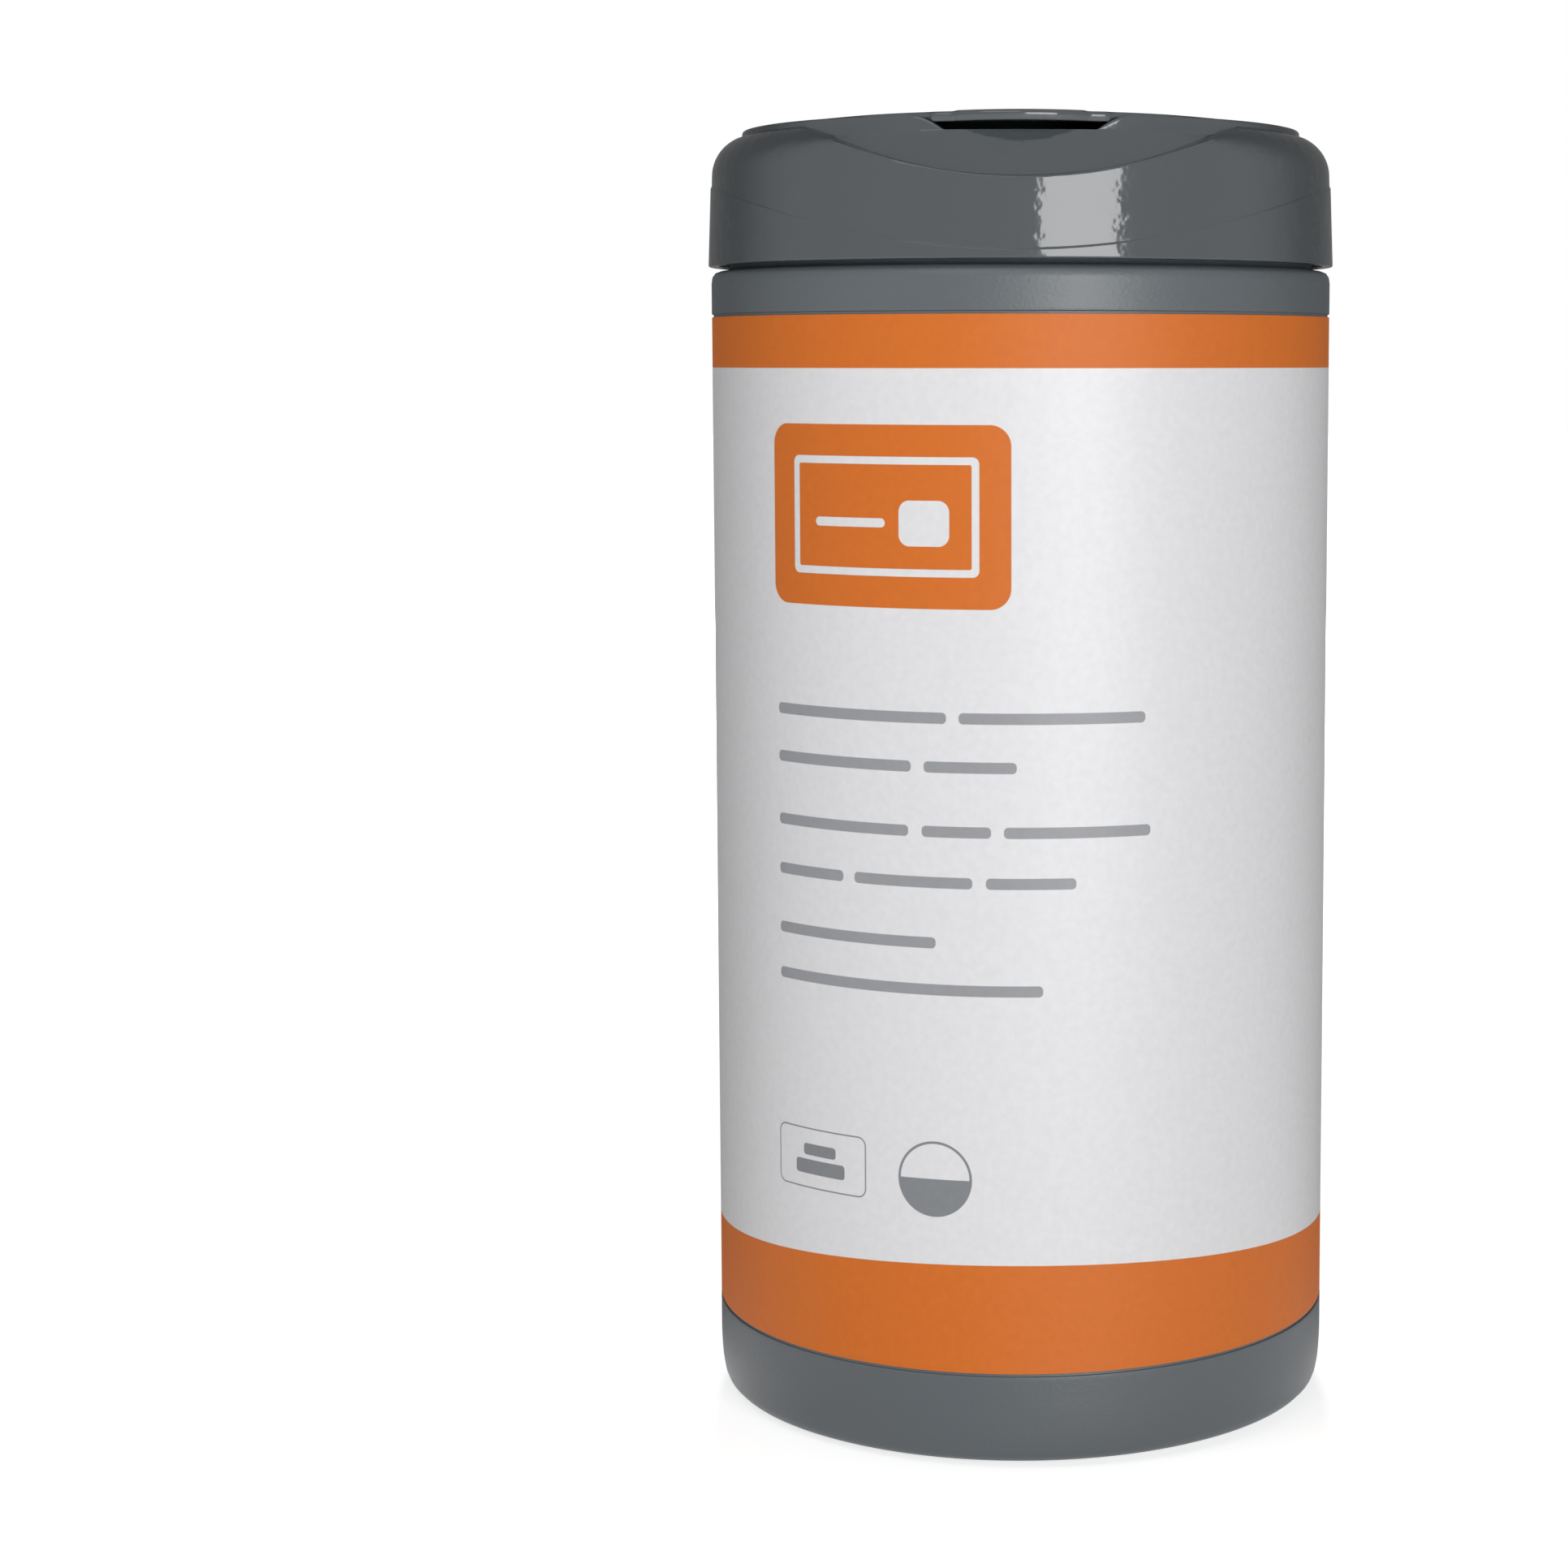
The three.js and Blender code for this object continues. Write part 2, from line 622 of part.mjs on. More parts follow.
const tub = new THREE.Group();
tub.add(piece("tub", tubSolid(), "#5b6164", 0.45));
tub.add(piece("label", labelSolid(), "#dcdcde", 0.4));
tub.add(piece("wipes_roll", rollSolid(), "#f2f2ee", 0.95));

const lid = new THREE.Group();
lid.add(piece("lid", lidSolid(), "#555b5f", 0.25));
lid.add(piece("flap", flapSolid(), "#555b5f", 0.25));

const canister = new THREE.Group();
canister.add(tub, lid);

export default canister;
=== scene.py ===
# A canister of pull-out wet wipes, dressed for the camera. The sections follow the canister as it
# is put together: tub, label, roll, lid, flap and hinge. Profiles are in millimetres, and angles
# round the canister start at the front, where the thumb tab is, and grow towards +X.
import math

import bmesh
import bpy
import numpy as np
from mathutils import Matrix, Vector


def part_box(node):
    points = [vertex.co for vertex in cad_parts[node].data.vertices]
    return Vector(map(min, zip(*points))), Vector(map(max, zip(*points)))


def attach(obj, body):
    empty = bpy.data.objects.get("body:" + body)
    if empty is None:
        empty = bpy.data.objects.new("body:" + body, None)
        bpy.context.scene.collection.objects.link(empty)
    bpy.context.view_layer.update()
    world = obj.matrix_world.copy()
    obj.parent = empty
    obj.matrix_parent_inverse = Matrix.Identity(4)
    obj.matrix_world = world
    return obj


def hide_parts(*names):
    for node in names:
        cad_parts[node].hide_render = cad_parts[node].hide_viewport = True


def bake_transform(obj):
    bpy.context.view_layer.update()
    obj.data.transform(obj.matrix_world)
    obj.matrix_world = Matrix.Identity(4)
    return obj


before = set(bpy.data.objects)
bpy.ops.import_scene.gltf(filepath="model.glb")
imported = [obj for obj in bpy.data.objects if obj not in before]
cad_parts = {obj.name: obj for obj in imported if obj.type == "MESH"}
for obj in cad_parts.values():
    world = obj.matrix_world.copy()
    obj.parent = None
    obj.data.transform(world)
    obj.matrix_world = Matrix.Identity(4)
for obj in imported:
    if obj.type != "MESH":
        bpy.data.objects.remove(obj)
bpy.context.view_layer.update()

# Camera. It stands close, level with the upper part of the tub, and looks slightly down at it,
# as in the photograph, whose frame is square. The shift across puts the tub right of the
# middle, and the small shift down takes up part of the tilt, so its sides stay nearly upright.
CAMERA_DISTANCE = 0.4555
CAMERA_HEIGHT = 0.149
CAMERA_TILT = 5.96
LENS_MM = 72.54
SHIFT_ACROSS = -0.1509
SHIFT_DOWN = 0.06

camera_data = bpy.data.cameras.new("camera")
camera_data.sensor_width = 36
camera_data.lens = LENS_MM
camera_data.shift_x = SHIFT_ACROSS
camera_data.shift_y = -SHIFT_DOWN
camera_data.clip_start = 0.01
camera = bpy.data.objects.new("camera", camera_data)
camera.location = (0, -CAMERA_DISTANCE, CAMERA_HEIGHT)
camera.rotation_euler = (math.radians(90 - CAMERA_TILT), 0, 0)
bpy.context.scene.collection.objects.link(camera)
bpy.context.scene.camera = camera

# Tub. It is blow-moulded from high-density polyethylene, coloured grey right through: a pushed-up
# base with a pinched-off weld, a rounded heel, a straight body with a shallow panel for the label,
# and a neck with a snap bead. It carries everything else.
MM = 0.001
_, tub_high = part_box("tub")
label_low, label_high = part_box("label")
TUB_RADIUS = tub_high[0] / MM
TUB_TOP = tub_high[2] / MM
TUB_SHOULDER = 161.6
SHOULDER_FALL = 0.35
TUB_WALL = 1
LABEL_FOOT = label_low[2] / MM
LABEL_HEAD = label_high[2] / MM
PANEL_DEPTH = 0.25
PANEL_MARGIN = 0.4
NECK_RADIUS = TUB_RADIUS - 2.6
NECK_HEAD = TUB_TOP - 3.4
BEAD_HEIGHT = 166.4
BEAD_HALF = 0.8
BEAD_REACH = 0.9
MOUTH_RADIUS = NECK_RADIUS - 2.4
MOUTH_BORE = MOUTH_RADIUS - 1.2
MOUTH_FOOT = TUB_TOP - 2.2
BASE_PUSH_UP = 3
BASE_RADIUS = 32
STAND_INNER = 35
STAND_OUTER = 37.6
STAND_EASE = 0.4
HEEL_RADIUS = 43.25
HEEL_FOOT = 1.5
HEEL_BULGE_RADIUS = 43.8
HEEL_BULGE = 4.2
HEEL_HEAD = 7.5
INSIDE_HEEL = 7
INSIDE_SHOULDER_FALL = 3
GREY_PLASTIC = "#4f5559"

ROUND_STEPS = 3
TURN_COUNT = 420
FRONT_DENSITY = 0.6
even_turn = np.linspace(-math.pi, math.pi, TURN_COUNT, endpoint=False)
turn = even_turn - FRONT_DENSITY / 2 * np.sin(2 * even_turn)


def linear(hex_colour):
    """A hex sRGB colour as the linear values that Blender's sockets take."""
    shares = [int(hex_colour[i:i + 2], 16) / 255 for i in (1, 3, 5)]
    return tuple(s / 12.92 if s <= 0.04045 else ((s + 0.055) / 1.055) ** 2.4 for s in shares) + (1,)


def add(tree, kind, settings=None, **inputs):
    """Adds a node. Each input is named for its socket, or _ and the socket's number."""
    made = tree.nodes.new(kind)
    for name, value in (settings or {}).items():
        setattr(made, name, value)
    for name, value in inputs.items():
        by_number = name[1:].isdigit()
        socket = made.inputs[int(name[1:]) if by_number else name.replace("_", " ")]
        if isinstance(value, bpy.types.NodeSocket):
            tree.links.new(value, socket)
        else:
            socket.default_value = value
    return made


def calculated(tree, operation, *values):
    """One step of arithmetic on values or other nodes' outputs, by a Math node."""
    numbered = {f"_{i}": value for i, value in enumerate(values)}
    return add(tree, "ShaderNodeMath", {"operation": operation}, **numbered).outputs[0]


def new_material(name, **inputs):
    """A material with one Principled shader, and that shader and its tree."""
    material = bpy.data.materials.new(name)
    material.use_nodes = True
    tree = material.node_tree
    tree.nodes.clear()
    shader = add(tree, "ShaderNodeBsdfPrincipled", **inputs)
    add(tree, "ShaderNodeOutputMaterial", Surface=shader.outputs["BSDF"])
    return material, tree, shader


def step_toward(start, goal, distance):
    """From each start point towards its goal, by a distance, but never as far as half way."""
    gap = goal - start
    length = np.maximum(np.hypot(gap[0], gap[1]), 1e-9)
    return start + gap * np.minimum(distance / length, 0.45)


def profile_rows(corners, angles, closed):
    """Rows of [radius, height] at every angle, from corners of (radius, height, rounding, run rows)."""
    points = [
        np.stack([np.broadcast_to(np.asarray(v, float), angles.shape) for v in corner[:2]])
        for corner in corners
    ]
    count = len(corners)
    rows = []
    for i, (_, _, rounding, run) in enumerate(corners):
        here = points[i]
        before = points[i - 1]
        after = points[(i + 1) % count]
        leaving = here
        if rounding:
            arriving = step_toward(here, before, rounding)
            leaving = step_toward(here, after, rounding)
            for s in np.linspace(0, 1, ROUND_STEPS + 1):
                rows.append((1 - s) ** 2 * arriving + 2 * s * (1 - s) * here + s ** 2 * leaving)
        else:
            rows.append(here)
        if i == count - 1 and not closed:
            break
        reaching = step_toward(after, here, corners[(i + 1) % count][2])
        for j in range(1, run + 1):
            share = (1 - math.cos(math.pi * j / (run + 1))) / 2
            rows.append(leaving + (reaching - leaving) * share)
    return rows


def swept_object(name, rows, angles, closed):
    """A smooth closed shell whose section at each angle is that angle's column of the rows."""
    grid = np.stack(rows)
    radius = grid[:, 0, :]
    height = grid[:, 1, :]
    places = np.stack([radius * np.sin(angles), -radius * np.cos(angles), height], axis=-1) * MM
    row_count, turn_count = radius.shape
    faces = []
    uv = []
    wrap = np.append(angles, angles[0] + 2 * math.pi)
    last = row_count if closed else row_count - 1
    for j in range(last):
        up = (j + 1) % row_count
        for i in range(turn_count):
            right = (i + 1) % turn_count
            faces.append((
                j * turn_count + i,
                j * turn_count + right,
                up * turn_count + right,
                up * turn_count + i,
            ))
            uv.extend((
                (wrap[i] * TUB_RADIUS, height[j, i]),
                (wrap[i + 1] * TUB_RADIUS, height[j, right]),
                (wrap[i + 1] * TUB_RADIUS, height[up, right]),
                (wrap[i] * TUB_RADIUS, height[up, i]),
            ))
    mesh = bpy.data.meshes.new(name)
    mesh.from_pydata(places.reshape(-1, 3).tolist(), [], faces)
    layer = mesh.uv_layers.new(name="wrap")
    layer.data.foreach_set("uv", np.array(uv, dtype=np.float32).ravel())
    shell = bmesh.new()
    shell.from_mesh(mesh)
    bmesh.ops.remove_doubles(shell, verts=shell.verts, dist=1e-6)
    bmesh.ops.dissolve_degenerate(shell, edges=shell.edges, dist=1e-7)
    bmesh.ops.recalc_face_normals(shell, faces=shell.faces)
    for face in shell.faces:
        face.smooth = True
    shell.to_mesh(mesh)
    shell.free()
    made = bpy.data.objects.new(name, mesh)
    bpy.context.scene.collection.objects.link(made)
    return made


def smooth_share(value):
    """0 below 0, 1 above 1, and an S-curve between."""
    held = np.clip(value, 0, 1)
    return held * held * (3 - 2 * held)


panel_radius = TUB_RADIUS - PANEL_DEPTH
tub_corners = [
    (0, BASE_PUSH_UP, 0, 10),
    (BASE_RADIUS, BASE_PUSH_UP, 1.5, 2),
    (STAND_INNER, 0, 0.8, 1),
    (STAND_OUTER, 0, 1, 2),
    (HEEL_RADIUS, HEEL_FOOT, 1.3, 1),
    (HEEL_BULGE_RADIUS, HEEL_BULGE, 1.2, 1),
    (TUB_RADIUS, HEEL_HEAD, 1.5, 3),
    (TUB_RADIUS, LABEL_FOOT - PANEL_MARGIN, 0.12, 0),
    (panel_radius, LABEL_FOOT - PANEL_MARGIN, 0.1, 12),
    (panel_radius, LABEL_HEAD + PANEL_MARGIN, 0.1, 0),
    (TUB_RADIUS, LABEL_HEAD + PANEL_MARGIN, 0.12, 4),
    (TUB_RADIUS, TUB_SHOULDER - SHOULDER_FALL, 1.5, 1),
    (NECK_RADIUS, TUB_SHOULDER, 0.5, 1),
    (NECK_RADIUS, BEAD_HEIGHT - BEAD_HALF, 0.3, 0),
    (NECK_RADIUS + BEAD_REACH, BEAD_HEIGHT, 0.3, 0),
    (NECK_RADIUS, BEAD_HEIGHT + BEAD_HALF, 0.3, 1),
    (NECK_RADIUS, NECK_HEAD, 0.6, 1),
    (MOUTH_RADIUS, MOUTH_FOOT, 0.6, 1),
    (MOUTH_RADIUS, TUB_TOP, 0.3, 1),
    (MOUTH_BORE, TUB_TOP, 0.3, 2),
    (MOUTH_BORE, MOUTH_FOOT - TUB_WALL, 0.5, 1),
    (NECK_RADIUS - TUB_WALL, NECK_HEAD - TUB_WALL, 0.6, 3),
    (NECK_RADIUS - TUB_WALL, TUB_SHOULDER - TUB_WALL, 0.5, 1),
    (panel_radius - TUB_WALL, TUB_SHOULDER - INSIDE_SHOULDER_FALL, 1, 10),
    (panel_radius - TUB_WALL, INSIDE_HEEL, 3, 2),
    (STAND_OUTER + STAND_EASE, TUB_WALL, 2, 1),
    (STAND_INNER - STAND_EASE, TUB_WALL, 1, 1),
    (BASE_RADIUS - TUB_WALL, BASE_PUSH_UP + TUB_WALL, 1, 6),
    (0, BASE_PUSH_UP + TUB_WALL, 0, 0),
]
tub = swept_object("blow_moulded_tub", profile_rows(tub_corners, turn, False), turn, False)

# HDPE from a sandblasted mould: a satin skin, with a fine orange-peel grain that breaks up the
# highlight, and no coat of its own.
GRAIN_MM = 0.55
tub_plastic, tree, shader = new_material(
    "hdpe_blow_moulded_grey",
    Base_Color=linear(GREY_PLASTIC),
    IOR=1.54,
)
coordinates = add(tree, "ShaderNodeTexCoord").outputs["Object"]
grain = add(tree, "ShaderNodeTexNoise", Vector=coordinates, Scale=1 / (GRAIN_MM * MM), Detail=2.0)
bump = add(tree, "ShaderNodeBump", Height=grain.outputs["Fac"], Strength=0.35, Distance=0.00012)
tree.links.new(bump.outputs["Normal"], shader.inputs["Normal"])
cloud = add(tree, "ShaderNodeTexNoise", Vector=coordinates, Scale=35.0, Detail=3.0)
polish = add(
    tree, "ShaderNodeMapRange", Value=cloud.outputs["Fac"], To_Min=0.38, To_Max=0.47,
)
tree.links.new(polish.outputs["Result"], shader.inputs["Roughness"])
tub.data.materials.append(tub_plastic)
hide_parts("tub")
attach(tub, "tub")

# Label. One sheet of silver-white satin film, printed orange at its head and foot, wrapped round
# the tub and lapped over itself at the back. It carries plain bars for lines of words, a panel
# with a wiped board, a ruled box and a half-filled ring.
LABEL_GAP = 0.03
LABEL_FILM = 0.2
LAP_WIDTH = 8
LAP_EDGE = 0.25
FILM_WHITE = "#dedee0"
PRINT_ORANGE = "#cc6814"
PRINT_GREY = "#7b7e82"
WORD_GREY = "#909296"
HEAD_BAND = 7.05
FOOT_BAND = 14.9
FOOT_BAND_DIP = 2.7

label_inner = panel_radius + LABEL_GAP
across_back = TUB_RADIUS * np.sin(turn)
on_lap = smooth_share((LAP_WIDTH / 2 - np.abs(across_back)) / LAP_EDGE + 0.5) * (np.cos(turn) < 0)
label_outer = label_inner + LABEL_FILM + on_lap * LABEL_FILM
label_corners = [
    (label_inner, LABEL_FOOT, 0, 0),
    (label_outer, LABEL_FOOT, 0.05, 60),
    (label_outer, LABEL_HEAD, 0.05, 0),
    (label_inner, LABEL_HEAD, 0, 12),
]
label = swept_object("wrap_label", profile_rows(label_corners, turn, True), turn, True)

# Satin polypropylene film: silver-white ink under a soft varnish, so it has a broad sheen and
# falls off to grey at the sides. The print is laid out in millimetres round the tub and up it.
FILM_ROUGHNESS = 0.44
INK_ROUGHNESS = 0.58
PRINT_BLUR = 0.05
film, tree, shader = new_material("polypropylene_film_satin_print", IOR=1.5)

block_group = bpy.data.node_groups.new("printed_block", "ShaderNodeTree")
for socket_name in ("Across", "Up", "Centre across", "Centre up", "Half width", "Half height", "Corner"):
    block_group.interface.new_socket(socket_name, in_out="INPUT", socket_type="NodeSocketFloat")
block_group.interface.new_socket("Inside", in_out="OUTPUT", socket_type="NodeSocketFloat")
entry = add(block_group, "NodeGroupInput").outputs
overhangs = []
for place, centre, half in (
    ("Across", "Centre across", "Half width"),
    ("Up", "Centre up", "Half height"),
):
    offset = calculated(block_group, "SUBTRACT", entry[place], entry[centre])
    size = calculated(block_group, "ABSOLUTE", offset)
    flat = calculated(block_group, "SUBTRACT", entry[half], entry["Corner"])
    overhangs.append(calculated(block_group, "SUBTRACT", size, flat))
outside = [calculated(block_group, "MAXIMUM", past, 0.0) for past in overhangs]
spread = add(block_group, "ShaderNodeCombineXYZ", X=outside[0], Y=outside[1])
reach = add(block_group, "ShaderNodeVectorMath", {"operation": "LENGTH"}, _0=spread.outputs[0])
deeper = calculated(block_group, "MAXIMUM", *overhangs)
within = calculated(block_group, "MINIMUM", deeper, 0.0)
edge = calculated(block_group, "ADD", reach.outputs["Value"], within)
depth = calculated(block_group, "SUBTRACT", entry["Corner"], edge)
inside = add(
    block_group, "ShaderNodeMapRange", Value=depth, From_Min=-PRINT_BLUR, From_Max=PRINT_BLUR,
)
add(block_group, "NodeGroupOutput", Inside=inside.outputs["Result"])

position = add(
    tree, "ShaderNodeSeparateXYZ",
    _0=add(tree, "ShaderNodeUVMap", {"uv_map": "wrap"}).outputs["UV"],
).outputs


def printed_block(left, right, bottom, top, corner):
    """Where a round-cornered block is printed: its sides in millimetres from the front middle."""
    block = add(tree, "ShaderNodeGroup", {"node_tree": block_group})
    tree.links.new(position["X"], block.inputs["Across"])
    tree.links.new(position["Y"], block.inputs["Up"])
    block.inputs["Centre across"].default_value = (left + right) / 2
    block.inputs["Centre up"].default_value = (bottom + top) / 2
    block.inputs["Half width"].default_value = (right - left) / 2
    block.inputs["Half height"].default_value = (top - bottom) / 2
    block.inputs["Corner"].default_value = corner
    return block.outputs["Inside"]


def either(first, second):
    """Where one or the other is printed."""
    return calculated(tree, "MAXIMUM", first, second)


def without(first, second):
    """Where the first is printed, with the second left out of it."""
    return calculated(tree, "MULTIPLY", first, calculated(tree, "SUBTRACT", 1.0, second))


def over(under, printed, ink):
    """The colour under a print, covered by ink where it is printed."""
    mixed = add(tree, "ShaderNodeMix", {"data_type": "RGBA"}, Factor=printed, _6=under, _7=ink)
    return mixed.outputs[2]


# The foot band's upper edge is lowest at the sides of the front and back, as a shallow arch.
sway = calculated(tree, "SINE", calculated(tree, "DIVIDE", position["X"], TUB_RADIUS))
dip = calculated(tree, "MULTIPLY", sway, sway)
foot_edge = calculated(tree, "MULTIPLY_ADD", dip, -FOOT_BAND_DIP, LABEL_FOOT + FOOT_BAND)
under_edge = calculated(tree, "SUBTRACT", foot_edge, position["Y"])
over_edge = calculated(tree, "SUBTRACT", position["Y"], LABEL_HEAD - HEAD_BAND)
bands = either(*[
    add(
        tree, "ShaderNodeMapRange", Value=past_edge, From_Min=-PRINT_BLUR, From_Max=PRINT_BLUR,
    ).outputs["Result"]
    for past_edge in (under_edge, over_edge)
])

# A plain orange panel with a wiped board drawn on it.
PANEL_LEFT = -37.6
PANEL_RIGHT = -1.2
PANEL_FOOT = 116.5
PANEL_HEAD = 140.6
PANEL_CORNER = 2.8
BOARD_MARGIN = 4.2
BOARD_FRAME = 1
CLOTH_MARGIN = 4
CLOTH_WIDTH = 7
CLOTH_HEIGHT = 6
CLOTH_CORNER = 1.5
STROKE_GAP = 2
STROKE_WIDTH = 1.2
board_left = PANEL_LEFT + BOARD_MARGIN
board_right = PANEL_RIGHT - BOARD_MARGIN
board_foot = PANEL_FOOT + BOARD_MARGIN
board_head = PANEL_HEAD - BOARD_MARGIN
cloth_left = board_right - CLOTH_MARGIN - CLOTH_WIDTH
cloth_foot = board_foot + CLOTH_MARGIN
stroke_foot = cloth_foot + (CLOTH_HEIGHT - STROKE_WIDTH) / 2
panel = printed_block(PANEL_LEFT, PANEL_RIGHT, PANEL_FOOT, PANEL_HEAD, PANEL_CORNER)
board = without(
    printed_block(board_left, board_right, board_foot, board_head, 0.9),
    printed_block(
        board_left + BOARD_FRAME, board_right - BOARD_FRAME,
        board_foot + BOARD_FRAME, board_head - BOARD_FRAME, 0.3,
    ),
)
drawn_cloth = printed_block(
    cloth_left, cloth_left + CLOTH_WIDTH,
    cloth_foot, cloth_foot + CLOTH_HEIGHT, CLOTH_CORNER,
)
drawn_stroke = printed_block(
    board_left + CLOTH_MARGIN, cloth_left - STROKE_GAP,
    stroke_foot, stroke_foot + STROKE_WIDTH, STROKE_WIDTH / 2,
)
orange = either(bands, without(panel, either(board, either(drawn_cloth, drawn_stroke))))

# Bars where the lines of words stand: the height of each line's foot, and where its parts begin
# and end.
WORD_HEIGHT = 1.5
WORD_CORNER = 0.6
TEXT_LEFT = -37
word_lines = (
    (101.4, ((TEXT_LEFT, -9.9), (-8.2, 16.9))),
    (94.9, ((TEXT_LEFT, -14.8), (-13, -0.5))),
    (86.3, ((TEXT_LEFT, -15.2), (-13.3, -3.9), (-2.2, 17.7))),
    (79.5, ((TEXT_LEFT, -25.1), (-23.3, -6.4), (-4.6, 7.4))),
    (71.4, ((TEXT_LEFT, -11.4),)),
    (65.1, ((TEXT_LEFT, 3),)),
)
words = 0.0
for line_foot, parts in word_lines:
    for start, end in parts:
        bar = printed_block(start, end, line_foot, line_foot + WORD_HEIGHT, WORD_CORNER)
        words = either(words, bar)

# A finely ruled box with a folded wipe in it, and a half-filled ring, low on the front.
BOX_LEFT = -37.5
BOX_RIGHT = -21.7
BOX_FOOT = 36.5
BOX_HEAD = 44.9
BOX_CORNER = 1.3
BOX_LINE = 0.2
FOLD_CORNER = 0.5
SIGN_ACROSS = -11.65
SIGN_UP = 40.15
SIGN_RADIUS = 5.15
SIGN_LINE = 0.35
box_line = without(
    printed_block(BOX_LEFT, BOX_RIGHT, BOX_FOOT, BOX_HEAD, BOX_CORNER),
    printed_block(
        BOX_LEFT + BOX_LINE, BOX_RIGHT - BOX_LINE,
        BOX_FOOT + BOX_LINE, BOX_HEAD - BOX_LINE, BOX_CORNER - BOX_LINE,
    ),
)
box_sheet = either(*[
    printed_block(BOX_LEFT + inset, BOX_RIGHT - inset, BOX_FOOT + low, BOX_FOOT + high, FOLD_CORNER)
    for inset, low, high in ((3.5, 2, 4), (5, 4.6, 6.2))
])
disc, hollow = [
    printed_block(
        SIGN_ACROSS - radius, SIGN_ACROSS + radius,
        SIGN_UP - radius, SIGN_UP + radius, radius,
    )
    for radius in (SIGN_RADIUS, SIGN_RADIUS - SIGN_LINE)
]
upper_half = printed_block(
    SIGN_ACROSS - SIGN_RADIUS, SIGN_ACROSS + SIGN_RADIUS,
    SIGN_UP, SIGN_UP + SIGN_RADIUS, 0,
)
half_filled_ring = without(disc, without(hollow, without(1.0, upper_half)))
signs = either(either(box_line, box_sheet), half_filled_ring)

fleck = add(
    tree, "ShaderNodeTexNoise", Vector=add(tree, "ShaderNodeTexCoord").outputs["Object"], Scale=900.0,
)
ink_spread = add(
    tree, "ShaderNodeMapRange", Value=fleck.outputs["Fac"], From_Min=0.3, From_Max=0.7,
    To_Min=0.95, To_Max=1.0,
)
banded = over(linear(FILM_WHITE), orange, linear(PRINT_ORANGE))
worded = over(banded, words, linear(WORD_GREY))
colour = over(worded, signs, linear(PRINT_GREY))
mottled = add(
    tree, "ShaderNodeVectorMath", {"operation": "SCALE"}, _0=colour, Scale=ink_spread.outputs["Result"],
)
tree.links.new(mottled.outputs["Vector"], shader.inputs["Base Color"])
inked = add(
    tree, "ShaderNodeMapRange", Value=orange, To_Min=FILM_ROUGHNESS, To_Max=INK_ROUGHNESS,
)
tree.links.new(inked.outputs["Result"], shader.inputs["Roughness"])
label.data.materials.append(film)
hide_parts("label")
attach(label, "tub")

# Roll of wipes. Damp white nonwoven sheets, joined by perforations and wound without a core, so
# the turns show as a spiral from above. It stands loose in the tub.
roll_low, roll_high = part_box("wipes_roll")
ROLL_RADIUS = roll_high[0] / MM
ROLL_FOOT = roll_low[2] / MM
HEADSPACE = 10
ROLL_HEAD = TUB_SHOULDER - HEADSPACE
CORE_RADIUS = 8.5
TURN_PITCH = 2.1
TURN_THICKNESS = 1.7
TURN_CORNER = 0.5


def geometry_tree(name, size_names):
    """A geometry node tree that takes named numbers and gives a mesh."""
    group = bpy.data.node_groups.new(name, "GeometryNodeTree")
    for size_name in size_names:
        group.interface.new_socket(size_name, in_out="INPUT", socket_type="NodeSocketFloat")
    group.interface.new_socket("Geometry", in_out="OUTPUT", socket_type="NodeSocketGeometry")
    return group


def made_by(name, group, sizes):
    """The mesh that a geometry node tree makes from its sizes, as a plain object."""
    carrier = bpy.data.objects.new(name, bpy.data.meshes.new(name))
    bpy.context.scene.collection.objects.link(carrier)
    modifier = carrier.modifiers.new("made", "NODES")
    modifier.node_group = group
    for socket in group.interface.items_tree:
        if socket.name in sizes:
            modifier[socket.identifier] = sizes[socket.name]
    ready = carrier.evaluated_get(bpy.context.evaluated_depsgraph_get())
    plain = bpy.data.meshes.new_from_object(ready)
    carrier.modifiers.remove(modifier)
    carrier.data = plain
    plain.name = name
    return carrier


# Spunlaced viscose: bright white, damp, soft-edged, with a fine random fibre grain.
FIBRE_MM = 0.6
nonwoven, tree, shader = new_material(
    "viscose_nonwoven_spunlaced",
    Base_Color=linear("#f1f1ed"),
    Roughness=0.85,
    IOR=1.45,
)
coordinates = add(tree, "ShaderNodeTexCoord").outputs["Object"]
fibres = add(tree, "ShaderNodeTexNoise", Vector=coordinates, Scale=1 / (FIBRE_MM * MM), Detail=4.0)
bump = add(tree, "ShaderNodeBump", Height=fibres.outputs["Fac"], Strength=0.5, Distance=0.0003)
tree.links.new(bump.outputs["Normal"], shader.inputs["Normal"])

turns = math.floor((ROLL_RADIUS - CORE_RADIUS - TURN_THICKNESS) / TURN_PITCH)
winding_sizes = {
    "Core radius": (CORE_RADIUS + TURN_THICKNESS / 2) * MM,
    "Pitch": TURN_PITCH * MM,
    "Thickness": TURN_THICKNESS * MM,
    "Foot": ROLL_FOOT * MM,
    "Head": ROLL_HEAD * MM,
}
winding = geometry_tree("wound_turns", winding_sizes)
entry = add(winding, "NodeGroupInput").outputs
outer = calculated(winding, "MULTIPLY_ADD", entry["Pitch"], float(turns), entry["Core radius"])
spiral = add(
    winding, "GeometryNodeCurveSpiral",
    Resolution=64, Rotations=float(turns), Height=0.0,
    Start_Radius=entry["Core radius"], End_Radius=outer,
)
tall = calculated(winding, "SUBTRACT", entry["Head"], entry["Foot"])
section = add(
    winding, "GeometryNodeCurvePrimitiveQuadrilateral",
    Width=entry["Thickness"], Height=tall,
)
rounded = add(
    winding, "GeometryNodeFilletCurve", {"mode": "POLY"},
    Curve=section.outputs["Curve"], Count=3, Radius=TURN_CORNER * MM,
)
